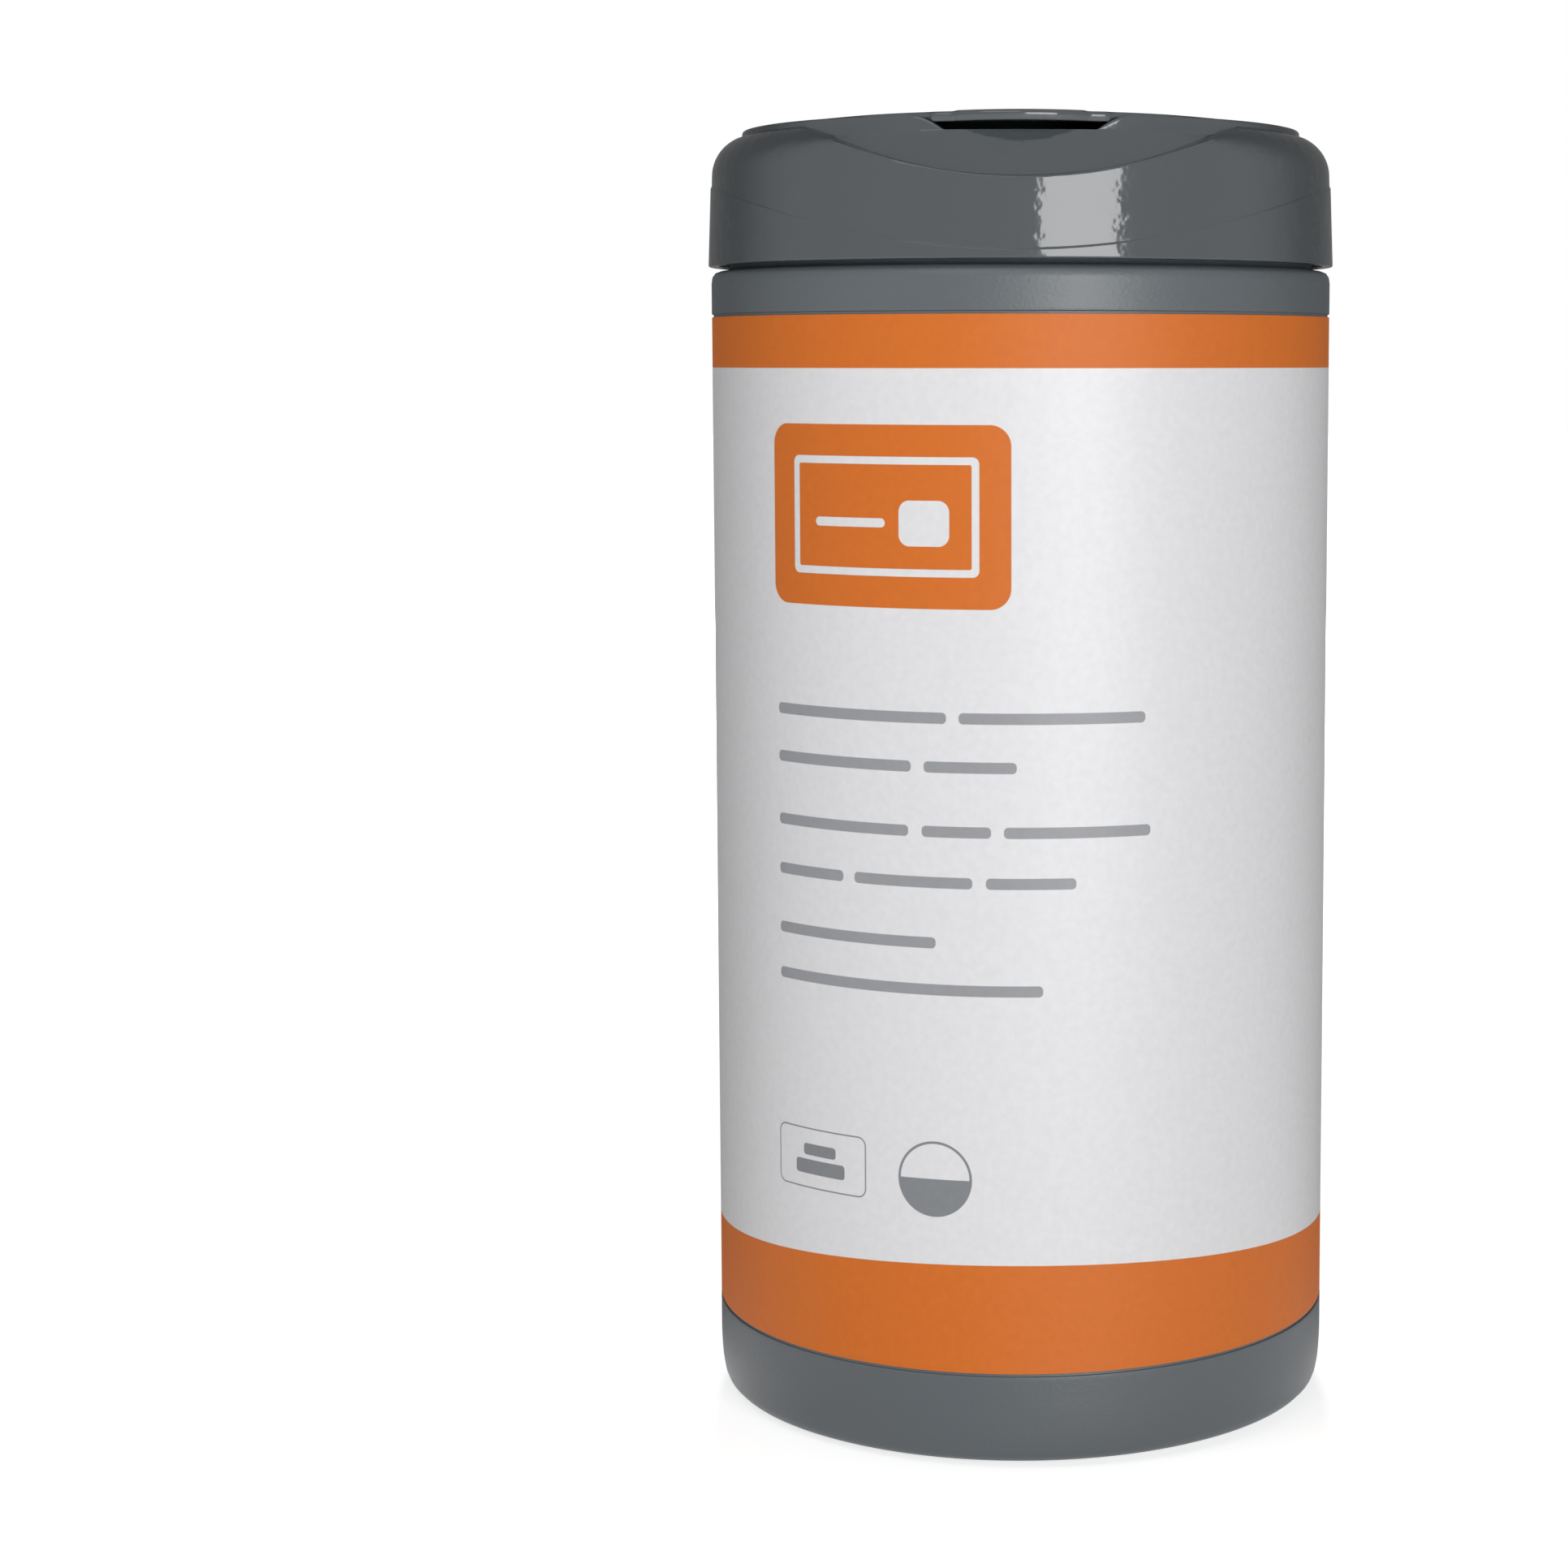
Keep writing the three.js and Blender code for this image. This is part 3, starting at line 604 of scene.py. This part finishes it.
strip = add(
    winding, "GeometryNodeCurveToMesh",
    Curve=spiral.outputs["Curve"], Profile_Curve=rounded.outputs["Curve"], Fill_Caps=True,
)
middle = calculated(winding, "MULTIPLY_ADD", tall, 0.5, entry["Foot"])
lift = add(winding, "ShaderNodeCombineXYZ", Z=middle)
stood = add(
    winding, "GeometryNodeTransform", Geometry=strip.outputs["Mesh"], Translation=lift.outputs[0],
)
real = add(winding, "GeometryNodeRealizeInstances", Geometry=stood.outputs["Geometry"])
clad = add(winding, "GeometryNodeSetMaterial", Geometry=real.outputs["Geometry"], Material=nonwoven)
add(winding, "NodeGroupOutput", Geometry=clad.outputs["Geometry"])
roll = made_by("wound_wipes", winding, winding_sizes)
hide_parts("wipes_roll")
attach(roll, "tub")

# The first wipe, gathered and twisted by hand, comes from the middle of the roll up through the
# lid's dispensing hole and ends in a loose tip in the well.
SHEET_BURIED = 14
SHEET_ROOT = ROLL_HEAD - SHEET_BURIED
SHEET_TIP = roll_high[2] / MM
SHEET_EDGE = SHEET_TIP - 1.2
SHEET_MIDDLE = SHEET_TIP - 1.6
SHEET_NECK = 3.3
SHEET_FOOT = CORE_RADIUS - 0.3
SHEET_ROWS = 60
SHEET_TURNS = 180
NECK_SHARE = 0.72
CLOSING_SHARE = 0.1
RAGGED_SHARE = 0.15
sheet_turn = np.linspace(-math.pi, math.pi, SHEET_TURNS, endpoint=False)
on_axis = np.zeros_like(sheet_turn)
sheet_rows = [np.stack([on_axis, on_axis + SHEET_ROOT])]
for share in np.linspace(0, 1, SHEET_ROWS):
    spread = max(0, 1 - share / NECK_SHARE) ** 2
    widest = SHEET_NECK + (SHEET_FOOT - SHEET_NECK) * spread
    folds = 0.13 * np.cos(5 * sheet_turn + 2.4 * share)
    creases = 0.07 * np.cos(13 * sheet_turn - 3 * share)
    closing = 1 - 0.35 * smooth_share((share - 1) / CLOSING_SHARE + 1)
    ragged = 0.9 * smooth_share((share - 1) / RAGGED_SHARE + 1) * np.cos(3 * sheet_turn + 1)
    height = SHEET_ROOT + (SHEET_EDGE - SHEET_ROOT) * share + ragged
    sheet_rows.append(np.stack([widest * closing * (0.8 + folds + creases), height]))
sheet_rows.append(np.stack([on_axis, on_axis + SHEET_MIDDLE]))
first_wipe = swept_object("first_wipe", sheet_rows, sheet_turn, False)
first_wipe.data.materials.append(nonwoven)
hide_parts("wipes_roll")
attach(first_wipe, "tub")

# Lid. One injection moulding in polished grey polypropylene, pushed over the tub's snap bead. Its
# skirt has a raised band under an arched edge, the front of its shoulder is scooped out for a
# thumb, and a low ring, notched at the front, stands round the dispensing well.
lid_low, lid_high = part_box("lid")
_, flap_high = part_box("flap")
BAND_STEP = 0.15
BAND_SLOPE = 0.22
BAND_FRONT_RISE = 1.1
BAND_ARCH_RISE = 9.9
LID_FOOT = lid_low[2] / MM
LID_RIM = lid_high[0] / MM - BAND_STEP
LID_DRAFT = 0.45
LID_WALL = 1.3
SHOULDER_ROUND = 5.6
RING_INSET = 4.3
RING_WALL = 1.4
RING_HEIGHT = 0.65
RIM_RISE = 0.15
REBATE_WIDTH = 0.7
REBATE_DEPTH = 0.5
RING_TOP = lid_high[2] / MM
WELL_DEPTH = 5.2
DECK_THICKNESS = 1.2
SCOOP_DROP = 1.25
SCOOP_LEAN = 0.587
SCOOP_HEIGHT = 6.2
SCOOP_ARCH_RISE = 16
DISH_HALF_WIDTH = 8.3
DISH_HEIGHT = 3.6
DISH_DEPTH = 0.36
DISH_SIDE_POWER = 3.4
DISH_FOOT_POWER = 2.6
DISH_MARGIN = 0.3
NOTCH_FLOOR_HALF = 10.1
NOTCH_RISE_WIDTH = 5.1
COLLAR_INNER = 11.8
COLLAR_WALL = 1.2
COLLAR_HEIGHT = 2
HOLE_RADIUS = 4.4
SLIT_COUNT = 6
SLIT_LENGTH = 4.2
SLIT_HALF_WIDTH = 0.5
PLUG_WALL = 0.9
PLUG_LENGTH = 6
PLUG_CLEARANCE = 0.3
GROOVE_INSET = 0.2
GROOVE_LOWEST = 175.9
GROOVE_HIGHEST = 177.8
SNAP_CLEARANCE = 1.05
SNAP_HEIGHT = 1.9
SNAP_FOOT = 1.2
SKIRT_PLAIN = 3
HINGE_REACH = 0.4
HINGE_HALF_WIDTH = 9
HINGE_END = 0.4
OUTSIDE_ROWS = 24
INSIDE_ROWS = 10
OUTSIDE_MARGIN = 0.3
SCOOP_MARGIN = 0.45
SCOOP_WALL_DROP = 0.6
UNCUT_RADIUS = 1e3

ring_base = RING_TOP - RING_HEIGHT
shoulder_radius = LID_RIM - LID_DRAFT
ring_radius = shoulder_radius - RING_INSET
well_radius = ring_radius - RING_WALL
deck_top = RING_TOP - WELL_DEPTH
deck_under = deck_top - DECK_THICKNESS
scoop_top = ring_base - SCOOP_DROP
centre_radius = shoulder_radius - SHOULDER_ROUND
centre_height = ring_base - math.sqrt(SHOULDER_ROUND ** 2 - (ring_radius - centre_radius) ** 2)
front = np.cos(turn) > 0


def lid_radius(height):
    """The lid's plain outside at a height: the leaning skirt, then the round shoulder."""
    lean = LID_RIM - LID_DRAFT * (height - LID_FOOT) / (centre_height - LID_FOOT)
    rise = np.clip(height - centre_height, 0, SHOULDER_ROUND)
    bulge = centre_radius + np.sqrt(SHOULDER_ROUND ** 2 - rise ** 2)
    return np.where(height < centre_height, lean, bulge)


def scoop_radius(height):
    """The scoop's leaning cone at a height."""
    return ring_radius + np.maximum(scoop_top - height, 0) * SCOOP_LEAN


scoop_foot = np.full_like(turn, ring_base)
for _ in range(4):
    across = lid_radius(scoop_foot) * np.sin(turn)
    arch = scoop_top - SCOOP_HEIGHT + SCOOP_ARCH_RISE * (across / TUB_RADIUS) ** 2
    scoop_foot = np.where(front, np.minimum(arch, ring_base), ring_base)

across = LID_RIM * np.sin(turn)
band_edge = LID_FOOT + BAND_FRONT_RISE + BAND_ARCH_RISE * (across / TUB_RADIUS) ** 2
across_ring = ring_radius * np.sin(turn)
climb = np.clip((np.abs(across_ring) - NOTCH_FLOOR_HALF) / NOTCH_RISE_WIDTH, 0, 1)
notch_share = np.where(front, climb * (2 - climb), 1)
at_hinge = smooth_share((HINGE_HALF_WIDTH - np.abs(across_ring)) / HINGE_END + 1) * ~front
hinge_outline = (ring_radius + HINGE_REACH) / np.maximum(np.abs(np.cos(turn)), 0.5)
ring_outline = ring_radius + np.maximum(hinge_outline - ring_radius, 0) * at_hinge
ring_rim = RING_TOP + RIM_RISE
ring_head = scoop_top + (ring_rim - RIM_RISE * at_hinge - scoop_top) * notch_share
rebate_floor = ring_rim - REBATE_DEPTH + (REBATE_DEPTH - RIM_RISE) * at_hinge
rebate_radius = ring_radius - REBATE_WIDTH

slit_phase = np.mod(turn * SLIT_COUNT / (2 * math.pi) + 0.5, 1) - 0.5
slit_angle = np.abs(slit_phase) * 2 * math.pi / SLIT_COUNT
slit_edge = np.arctan2(SLIT_HALF_WIDTH, HOLE_RADIUS + SLIT_LENGTH / 2)
slit_share = smooth_share((slit_edge - slit_angle) / 0.03 + 0.5)
hole_outline = HOLE_RADIUS + SLIT_LENGTH * slit_share

collar_outer = COLLAR_INNER + COLLAR_WALL
plug_outer = MOUTH_BORE - PLUG_CLEARANCE
groove_radius = ring_radius - GROOVE_INSET
groove_top = np.clip(scoop_foot - LID_WALL, GROOVE_LOWEST, GROOVE_HIGHEST)

outside_low = band_edge + OUTSIDE_MARGIN
outside_high = scoop_foot - SCOOP_MARGIN
outer_run = []
for share in np.linspace(0, 1, OUTSIDE_ROWS):
    level = outside_low + (outside_high - outside_low) * math.sin(math.pi / 2 * share)
    outer_run.append((lid_radius(level), level, 0, 0))
inner_run = []
for share in np.linspace(0, 1, INSIDE_ROWS):
    level = groove_top + (LID_FOOT + SKIRT_PLAIN - groove_top) * share
    above = level + SCOOP_WALL_DROP
    cut = np.where(above > scoop_foot, scoop_radius(above), UNCUT_RADIUS)
    inner_run.append((np.minimum(lid_radius(level), cut) - LID_WALL, level, 0, 0))

lid_corners = [
    (LID_RIM - LID_WALL, LID_FOOT, 0.15, 1),
    (LID_RIM + BAND_STEP, LID_FOOT, 0.25, 5),
    (lid_radius(band_edge) + BAND_STEP, band_edge, 0.08, 0),
    (lid_radius(band_edge), band_edge + BAND_SLOPE, 0.03, 0),
    *outer_run,
    (lid_radius(scoop_foot), scoop_foot, 0.8, 1),
    (np.minimum(scoop_radius(scoop_foot), lid_radius(scoop_foot)), scoop_foot, 0.2, 26),
    (ring_radius, np.maximum(scoop_top, scoop_foot), 0.2, 1),
    (ring_outline, ring_head, 0.38, 0),
    (rebate_radius, ring_head, 0.06, 0),
    (rebate_radius, np.minimum(ring_head, rebate_floor), 0.06, 0),
    (well_radius, np.minimum(ring_head, rebate_floor), 0.15, 2),
    (well_radius, deck_top, 0.4, 6),
    (collar_outer, deck_top, 0.3, 1),
    (collar_outer, deck_top + COLLAR_HEIGHT, 0.3, 0),
    (COLLAR_INNER, deck_top + COLLAR_HEIGHT, 0.3, 1),
    (COLLAR_INNER, deck_top, 0.3, 2),
    (hole_outline, deck_top, 0.3, 0),
    (hole_outline, deck_under, 0.3, 3),
    (plug_outer - PLUG_WALL, deck_under, 0.3, 1),
    (plug_outer - PLUG_WALL, deck_under - PLUG_LENGTH, 0.2, 0),
    (plug_outer, deck_under - PLUG_LENGTH, 0.3, 1),
    (plug_outer, deck_under, 0.2, 0),
    (groove_radius, deck_under, 0.2, 0),
    (groove_radius, groove_top, 0.2, 0),
    *inner_run,
    (NECK_RADIUS + SNAP_CLEARANCE, LID_FOOT + SNAP_HEIGHT, 0.2, 0),
    (LID_RIM - LID_WALL, LID_FOOT + SNAP_FOOT, 0.2, 0),
]
lid_rows = profile_rows(lid_corners, turn, True)

# The thumb dish is pressed into those rows that lie on the scoop.
dish_outer = lid_radius(scoop_foot) - DISH_MARGIN
for row in lid_rows:
    between_rims = (row[0] > well_radius + DISH_MARGIN) & (row[0] < dish_outer)
    on_scoop = between_rims & (row[1] > scoop_foot + 0.05) & front
    sideways = (np.abs(row[0] * np.sin(turn)) / DISH_HALF_WIDTH) ** DISH_SIDE_POWER
    downward = (np.abs(scoop_top - row[1]) / DISH_HEIGHT) ** DISH_FOOT_POWER
    row[0] -= DISH_DEPTH * np.maximum(1 - sideways - downward, 0) * on_scoop
lid = swept_object("moulded_lid", lid_rows, turn, True)

# Polypropylene from a polished mould: it mirrors the lamps, with slight ripples that break up the
# edge of a reflection, over a grey that is a little darker than the tub's.
LID_GREY = "#484d50"
lid_plastic, tree, shader = new_material(
    "polypropylene_polished_grey",
    Base_Color=linear(LID_GREY),
    IOR=1.5,
)
coordinates = add(tree, "ShaderNodeTexCoord").outputs["Object"]
ripple = add(tree, "ShaderNodeTexNoise", Vector=coordinates, Scale=420.0, Detail=2.0)
bump = add(tree, "ShaderNodeBump", Height=ripple.outputs["Fac"], Strength=0.2, Distance=0.0004)
tree.links.new(bump.outputs["Normal"], shader.inputs["Normal"])
haze = add(tree, "ShaderNodeTexNoise", Vector=coordinates, Scale=260.0, Detail=4.0)
polish = add(tree, "ShaderNodeMapRange", Value=haze.outputs["Fac"], To_Min=0.06, To_Max=0.13)
tree.links.new(polish.outputs["Result"], shader.inputs["Roughness"])
lid.data.materials.append(lid_plastic)
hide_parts("lid")
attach(lid, "lid")

# Flap. A thin domed disc in the same polypropylene, let into the ring's rim. Its front stands a
# little proud, with a bowed thumb tab and a lip that hangs into the notch, and a seal closes
# round the collar. It swings on the hinge.
FLAP_SEAM = 0.06
FLAP_SIDE_GAP = 0.1
FLAP_FRONT_LIFT = 0.3
FLAP_LIFT_START = 26
FLAP_LIFT_LENGTH = 12.5
FLAP_THICKNESS = 1.2
FLAP_ROWS = 16
FLAP_WELL_CLEARANCE = 0.35
LIP_DROP = 0.98
LIP_HALF_WIDTH = 11.4
LIP_END = 1.2
LIP_LEAN = 0.25
SEAL_CLEARANCE = 0.3
SEAL_WALL = 1
SEAL_FLOOR_GAP = 0.6
TAB_HALF_WIDTH = 8.8
TAB_REACH = 1.8
TAB_FRONT_RADIUS = 16
TAB_RISE = 0.1

flap_crown = flap_high[2] / MM
forward = ring_radius * np.cos(turn)
lifted = smooth_share((forward - FLAP_LIFT_START) / FLAP_LIFT_LENGTH)
flap_edge = ring_rim + 0.02 + FLAP_FRONT_LIFT * lifted
plate_radius = well_radius - FLAP_WELL_CLEARANCE
seal_inner = collar_outer + SEAL_CLEARANCE
seal_bottom = deck_top + SEAL_FLOOR_GAP
flap_at_hinge = smooth_share((HINGE_HALF_WIDTH - np.abs(across_ring)) / HINGE_END) * ~front
lip_share = smooth_share((LIP_HALF_WIDTH - np.abs(across_ring)) / LIP_END + 1) * front
flap_radius = rebate_radius - FLAP_SIDE_GAP
flap_outline = (
    flap_radius
    + (ring_radius - 0.05 - flap_radius) * lip_share
    + (hinge_outline - flap_radius) * flap_at_hinge
)
bow_centre = ring_radius + TAB_REACH - TAB_FRONT_RADIUS
bow_reach = np.sqrt(np.maximum(TAB_FRONT_RADIUS ** 2 - (bow_centre * np.sin(turn)) ** 2, 0))
tab_front = np.where(front, bow_centre * np.cos(turn) + bow_reach, 0)
tab_share = smooth_share((TAB_HALF_WIDTH + 0.3 - np.abs(across_ring)) / 0.9) * front
flap_outline = flap_outline + np.maximum(tab_front - flap_outline, 0) * tab_share
lip_bottom = np.clip(ring_head + FLAP_SEAM, ring_rim - LIP_DROP, ring_rim - REBATE_DEPTH + FLAP_SEAM)
lip_bottom = lip_bottom + (RING_TOP + 0.1 - lip_bottom) * flap_at_hinge


def dome_height(radius):
    """The flap's upper surface at a radius."""
    return flap_crown - (flap_crown - flap_edge) * (radius / ring_radius) ** 2


dome_run = [(0, flap_crown, 0, 0)]
for share in np.linspace(0.04, 0.955, FLAP_ROWS):
    radius = ring_radius * share
    raised = TAB_RISE * tab_share * smooth_share((share - 0.925) / 0.03)
    dome_run.append((radius, dome_height(radius) + raised, 0, 0))
flap_corners = [
    *dome_run,
    (flap_outline, flap_edge + TAB_RISE * tab_share, 0.75, 2),
    (flap_outline - LIP_LEAN * lip_share, lip_bottom, 0.12, 0),
    (plate_radius, lip_bottom, 0.15, 0),
    (plate_radius, dome_height(plate_radius) - FLAP_THICKNESS, 0.2, 4),
    (seal_inner + SEAL_WALL, dome_height(seal_inner) - FLAP_THICKNESS, 0.2, 1),
    (seal_inner + SEAL_WALL, seal_bottom, 0.25, 0),
    (seal_inner, seal_bottom, 0.25, 1),
    (seal_inner, dome_height(seal_inner) - FLAP_THICKNESS, 0.2, 3),
    (0, flap_crown - FLAP_THICKNESS, 0, 0),
]
flap = swept_object("moulded_flap", profile_rows(flap_corners, turn, False), turn, False)
flap.data.materials.append(lid_plastic)
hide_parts("flap")
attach(flap, "flap")

# Hinge. A web of the same polypropylene, 0.3 mm thick at its ends and half that at the fold, joins
# the lid's ring to the flap along a straight line at the back.
WEB_HALF_WIDTH = 8.6
WEB_THICKNESS = 0.3
WEB_DROP = 0.55
WEB_BULGE = 0.12
WEB_SET_IN = 0.05
WEB_STEPS = 14
hinge_line = ring_radius + HINGE_REACH
seam_height = RING_TOP + FLAP_SEAM / 2
web_mesh = bpy.data.meshes.new("hinge_web")
web_shell = bmesh.new()
web_columns = []
for side in (-WEB_HALF_WIDTH, WEB_HALF_WIDTH):
    column = []
    for depth_share in (0, 1):
        for i in range(WEB_STEPS + 1):
            share = i / WEB_STEPS
            height = seam_height + WEB_DROP * (2 * share - 1)
            bulge = WEB_BULGE * math.sin(math.pi * share)
            thickness = WEB_THICKNESS * depth_share * (1 - 0.5 * math.sin(math.pi * share))
            back = hinge_line + bulge - WEB_SET_IN + thickness
            column.append(web_shell.verts.new((side * MM, back * MM, height * MM)))
    web_columns.append(column)
left, right = web_columns
count = WEB_STEPS + 1
for i in range(WEB_STEPS):
    web_shell.faces.new((left[i], left[i + 1], right[i + 1], right[i]))
    web_shell.faces.new((left[count + i], right[count + i], right[count + i + 1], left[count + i + 1]))
    web_shell.faces.new((left[i], left[count + i], left[count + i + 1], left[i + 1]))
    web_shell.faces.new((right[i], right[i + 1], right[count + i + 1], right[count + i]))
web_shell.faces.new((left[0], right[0], right[count], left[count]))
web_shell.faces.new((left[count - 1], left[2 * count - 1], right[2 * count - 1], right[count - 1]))
bmesh.ops.recalc_face_normals(web_shell, faces=web_shell.faces)
web_shell.to_mesh(web_mesh)
web_shell.free()
web = bpy.data.objects.new("hinge_web", web_mesh)
bpy.context.scene.collection.objects.link(web)
web.data.materials.append(lid_plastic)
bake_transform(web)

# Floor and light. A white studio sweep: the floor takes the canister's soft shadow, and the rest is
# seen as white. One softbox stands right of the lens, weaker ones light the sides, the back and,
# from above, the front, and a grey cove behind the canister darkens only its glossy edges.
FLOOR_REACH = 6
FLOOR_GLOW = 0.66
SHADOW_REACH = 0.5
WORLD_LIGHT = 0.05
LAMP_AIM = 0.1


def seen_strength(tree, unseen, seen):
    """A light's strength: one for rays from the lens, mirrors and glass, and one for all others."""
    path = add(tree, "ShaderNodeLightPath").outputs
    mirrored = calculated(tree, "MAXIMUM", path["Is Glossy Ray"], path["Is Transmission Ray"])
    shown = calculated(tree, "MAXIMUM", path["Is Camera Ray"], mirrored)
    return add(tree, "ShaderNodeMapRange", Value=shown, To_Min=unseen, To_Max=seen).outputs["Result"]


def studio_sheet(name, material, corners, faces):
    """A thin sheet with corners in metres, set aside from the canister."""
    mesh = bpy.data.meshes.new(name)
    mesh.from_pydata(corners, [], faces)
    mesh.materials.append(material)
    made = bpy.data.objects.new(name, mesh)
    bpy.context.scene.collection.objects.link(made)
    return made


# The paper glows white past the shadow, and only partly where the shadow lies.
paper, tree, shader = new_material("paper_sweep_matt", Base_Color=linear("#f2f2f2"), Roughness=0.9)
away = add(
    tree, "ShaderNodeVectorMath", {"operation": "LENGTH"},
    _0=add(tree, "ShaderNodeTexCoord").outputs["Object"],
)
sheen = add(
    tree, "ShaderNodeMapRange", Value=away.outputs["Value"],
    From_Min=SHADOW_REACH / 2, From_Max=SHADOW_REACH, To_Min=FLOOR_GLOW, To_Max=1.0,
)
shown = seen_strength(tree, 0.0, 1.0)
shader.inputs["Emission Color"].default_value = (1, 1, 1, 1)
brightness = calculated(tree, "MULTIPLY", shown, sheen.outputs["Result"])
tree.links.new(brightness, shader.inputs["Emission Strength"])
floor_corners = [
    (-FLOOR_REACH, -FLOOR_REACH, 0),
    (FLOOR_REACH, -FLOOR_REACH, 0),
    (FLOOR_REACH, FLOOR_REACH, 0),
    (-FLOOR_REACH, FLOOR_REACH, 0),
]
studio_sheet("floor", paper, floor_corners, [(0, 1, 2, 3)])

world = bpy.data.worlds.new("studio")
world.use_nodes = True
bpy.context.scene.world = world
tree = world.node_tree
tree.nodes.clear()
glow = add(
    tree, "ShaderNodeBackground", Color=(1, 1, 1, 1), Strength=seen_strength(tree, WORLD_LIGHT, 1.0),
)
add(tree, "ShaderNodeOutputWorld", Surface=glow.outputs[0])

# The cove is grey felt: a half-round wall and the ground inside it. It thins out to nothing at
# its two ends, beside the canister.
COVE_REACH = 0.7
COVE_HEIGHT = 1.2
COVE_FLOAT = 0.001
COVE_START = 80
COVE_FULL = 125
COVE_STEPS = 40
felt, tree, shader = new_material("grey_felt", Base_Color=linear("#8a8a8a"), Roughness=1.0)
cover = add(tree, "ShaderNodeAttribute", {"attribute_name": "cover"}).outputs["Fac"]
tree.links.new(cover, shader.inputs["Alpha"])
cove_corners = []
cove_cover = []
for azimuth in np.linspace(COVE_START, 360 - COVE_START, COVE_STEPS + 1):
    angle = math.radians(azimuth)
    from_end = min(azimuth, 360 - azimuth) - COVE_START
    for reach, height in ((0, COVE_FLOAT), (COVE_REACH, COVE_FLOAT), (COVE_REACH, COVE_HEIGHT)):
        cove_corners.append((reach * math.sin(angle), -reach * math.cos(angle), height))
        cove_cover.append(float(smooth_share(from_end / (COVE_FULL - COVE_START))))
cove_faces = []
for i in range(COVE_STEPS):
    for j in (0, 1):
        cove_faces.append((3 * i + j, 3 * i + 3 + j, 3 * i + 4 + j, 3 * i + 1 + j))
cove = studio_sheet("grey_cove", felt, cove_corners, cove_faces)
cove.data.attributes.new("cover", "FLOAT", "POINT").data.foreach_set("value", cove_cover)
cove.visible_camera = False
cove.visible_diffuse = False
cove.visible_shadow = False


def softbox(name, azimuth, distance, height, width, tall, power, mirrored):
    """A rectangular lamp, so many degrees right of the lens, turned to face the canister.

    Only a mirrored lamp is seen in glossy surfaces.
    """
    lamp = bpy.data.lights.new(name, "AREA")
    lamp.shape = "RECTANGLE"
    lamp.size = width
    lamp.size_y = tall
    lamp.energy = power
    made = bpy.data.objects.new(name, lamp)
    angle = math.radians(azimuth)
    made.location = (distance * math.sin(angle), -distance * math.cos(angle), height)
    lean = math.atan2(height - LAMP_AIM, distance)
    made.rotation_euler = (math.pi / 2 - lean, 0, angle)
    made.visible_glossy = mirrored
    bpy.context.scene.collection.objects.link(made)


softbox(
    "key_softbox", azimuth=21, distance=1.2, height=0.28,
    width=0.6, tall=0.56, power=8.8, mirrored=True,
)
softbox(
    "left_softbox", azimuth=-54, distance=1.2, height=0.3,
    width=0.46, tall=1.0, power=4.8, mirrored=False,
)
softbox(
    "right_softbox", azimuth=72, distance=1.2, height=0.3,
    width=0.3, tall=1.0, power=0.8, mirrored=False,
)
softbox(
    "back_softbox", azimuth=180, distance=1.3, height=0.5,
    width=0.25, tall=1.0, power=12, mirrored=False,
)
softbox(
    "upper_softbox", azimuth=-22, distance=1.0, height=0.98,
    width=0.75, tall=0.14, power=1.8, mirrored=True,
)

scene = bpy.context.scene
scene.view_settings.view_transform = "Standard"
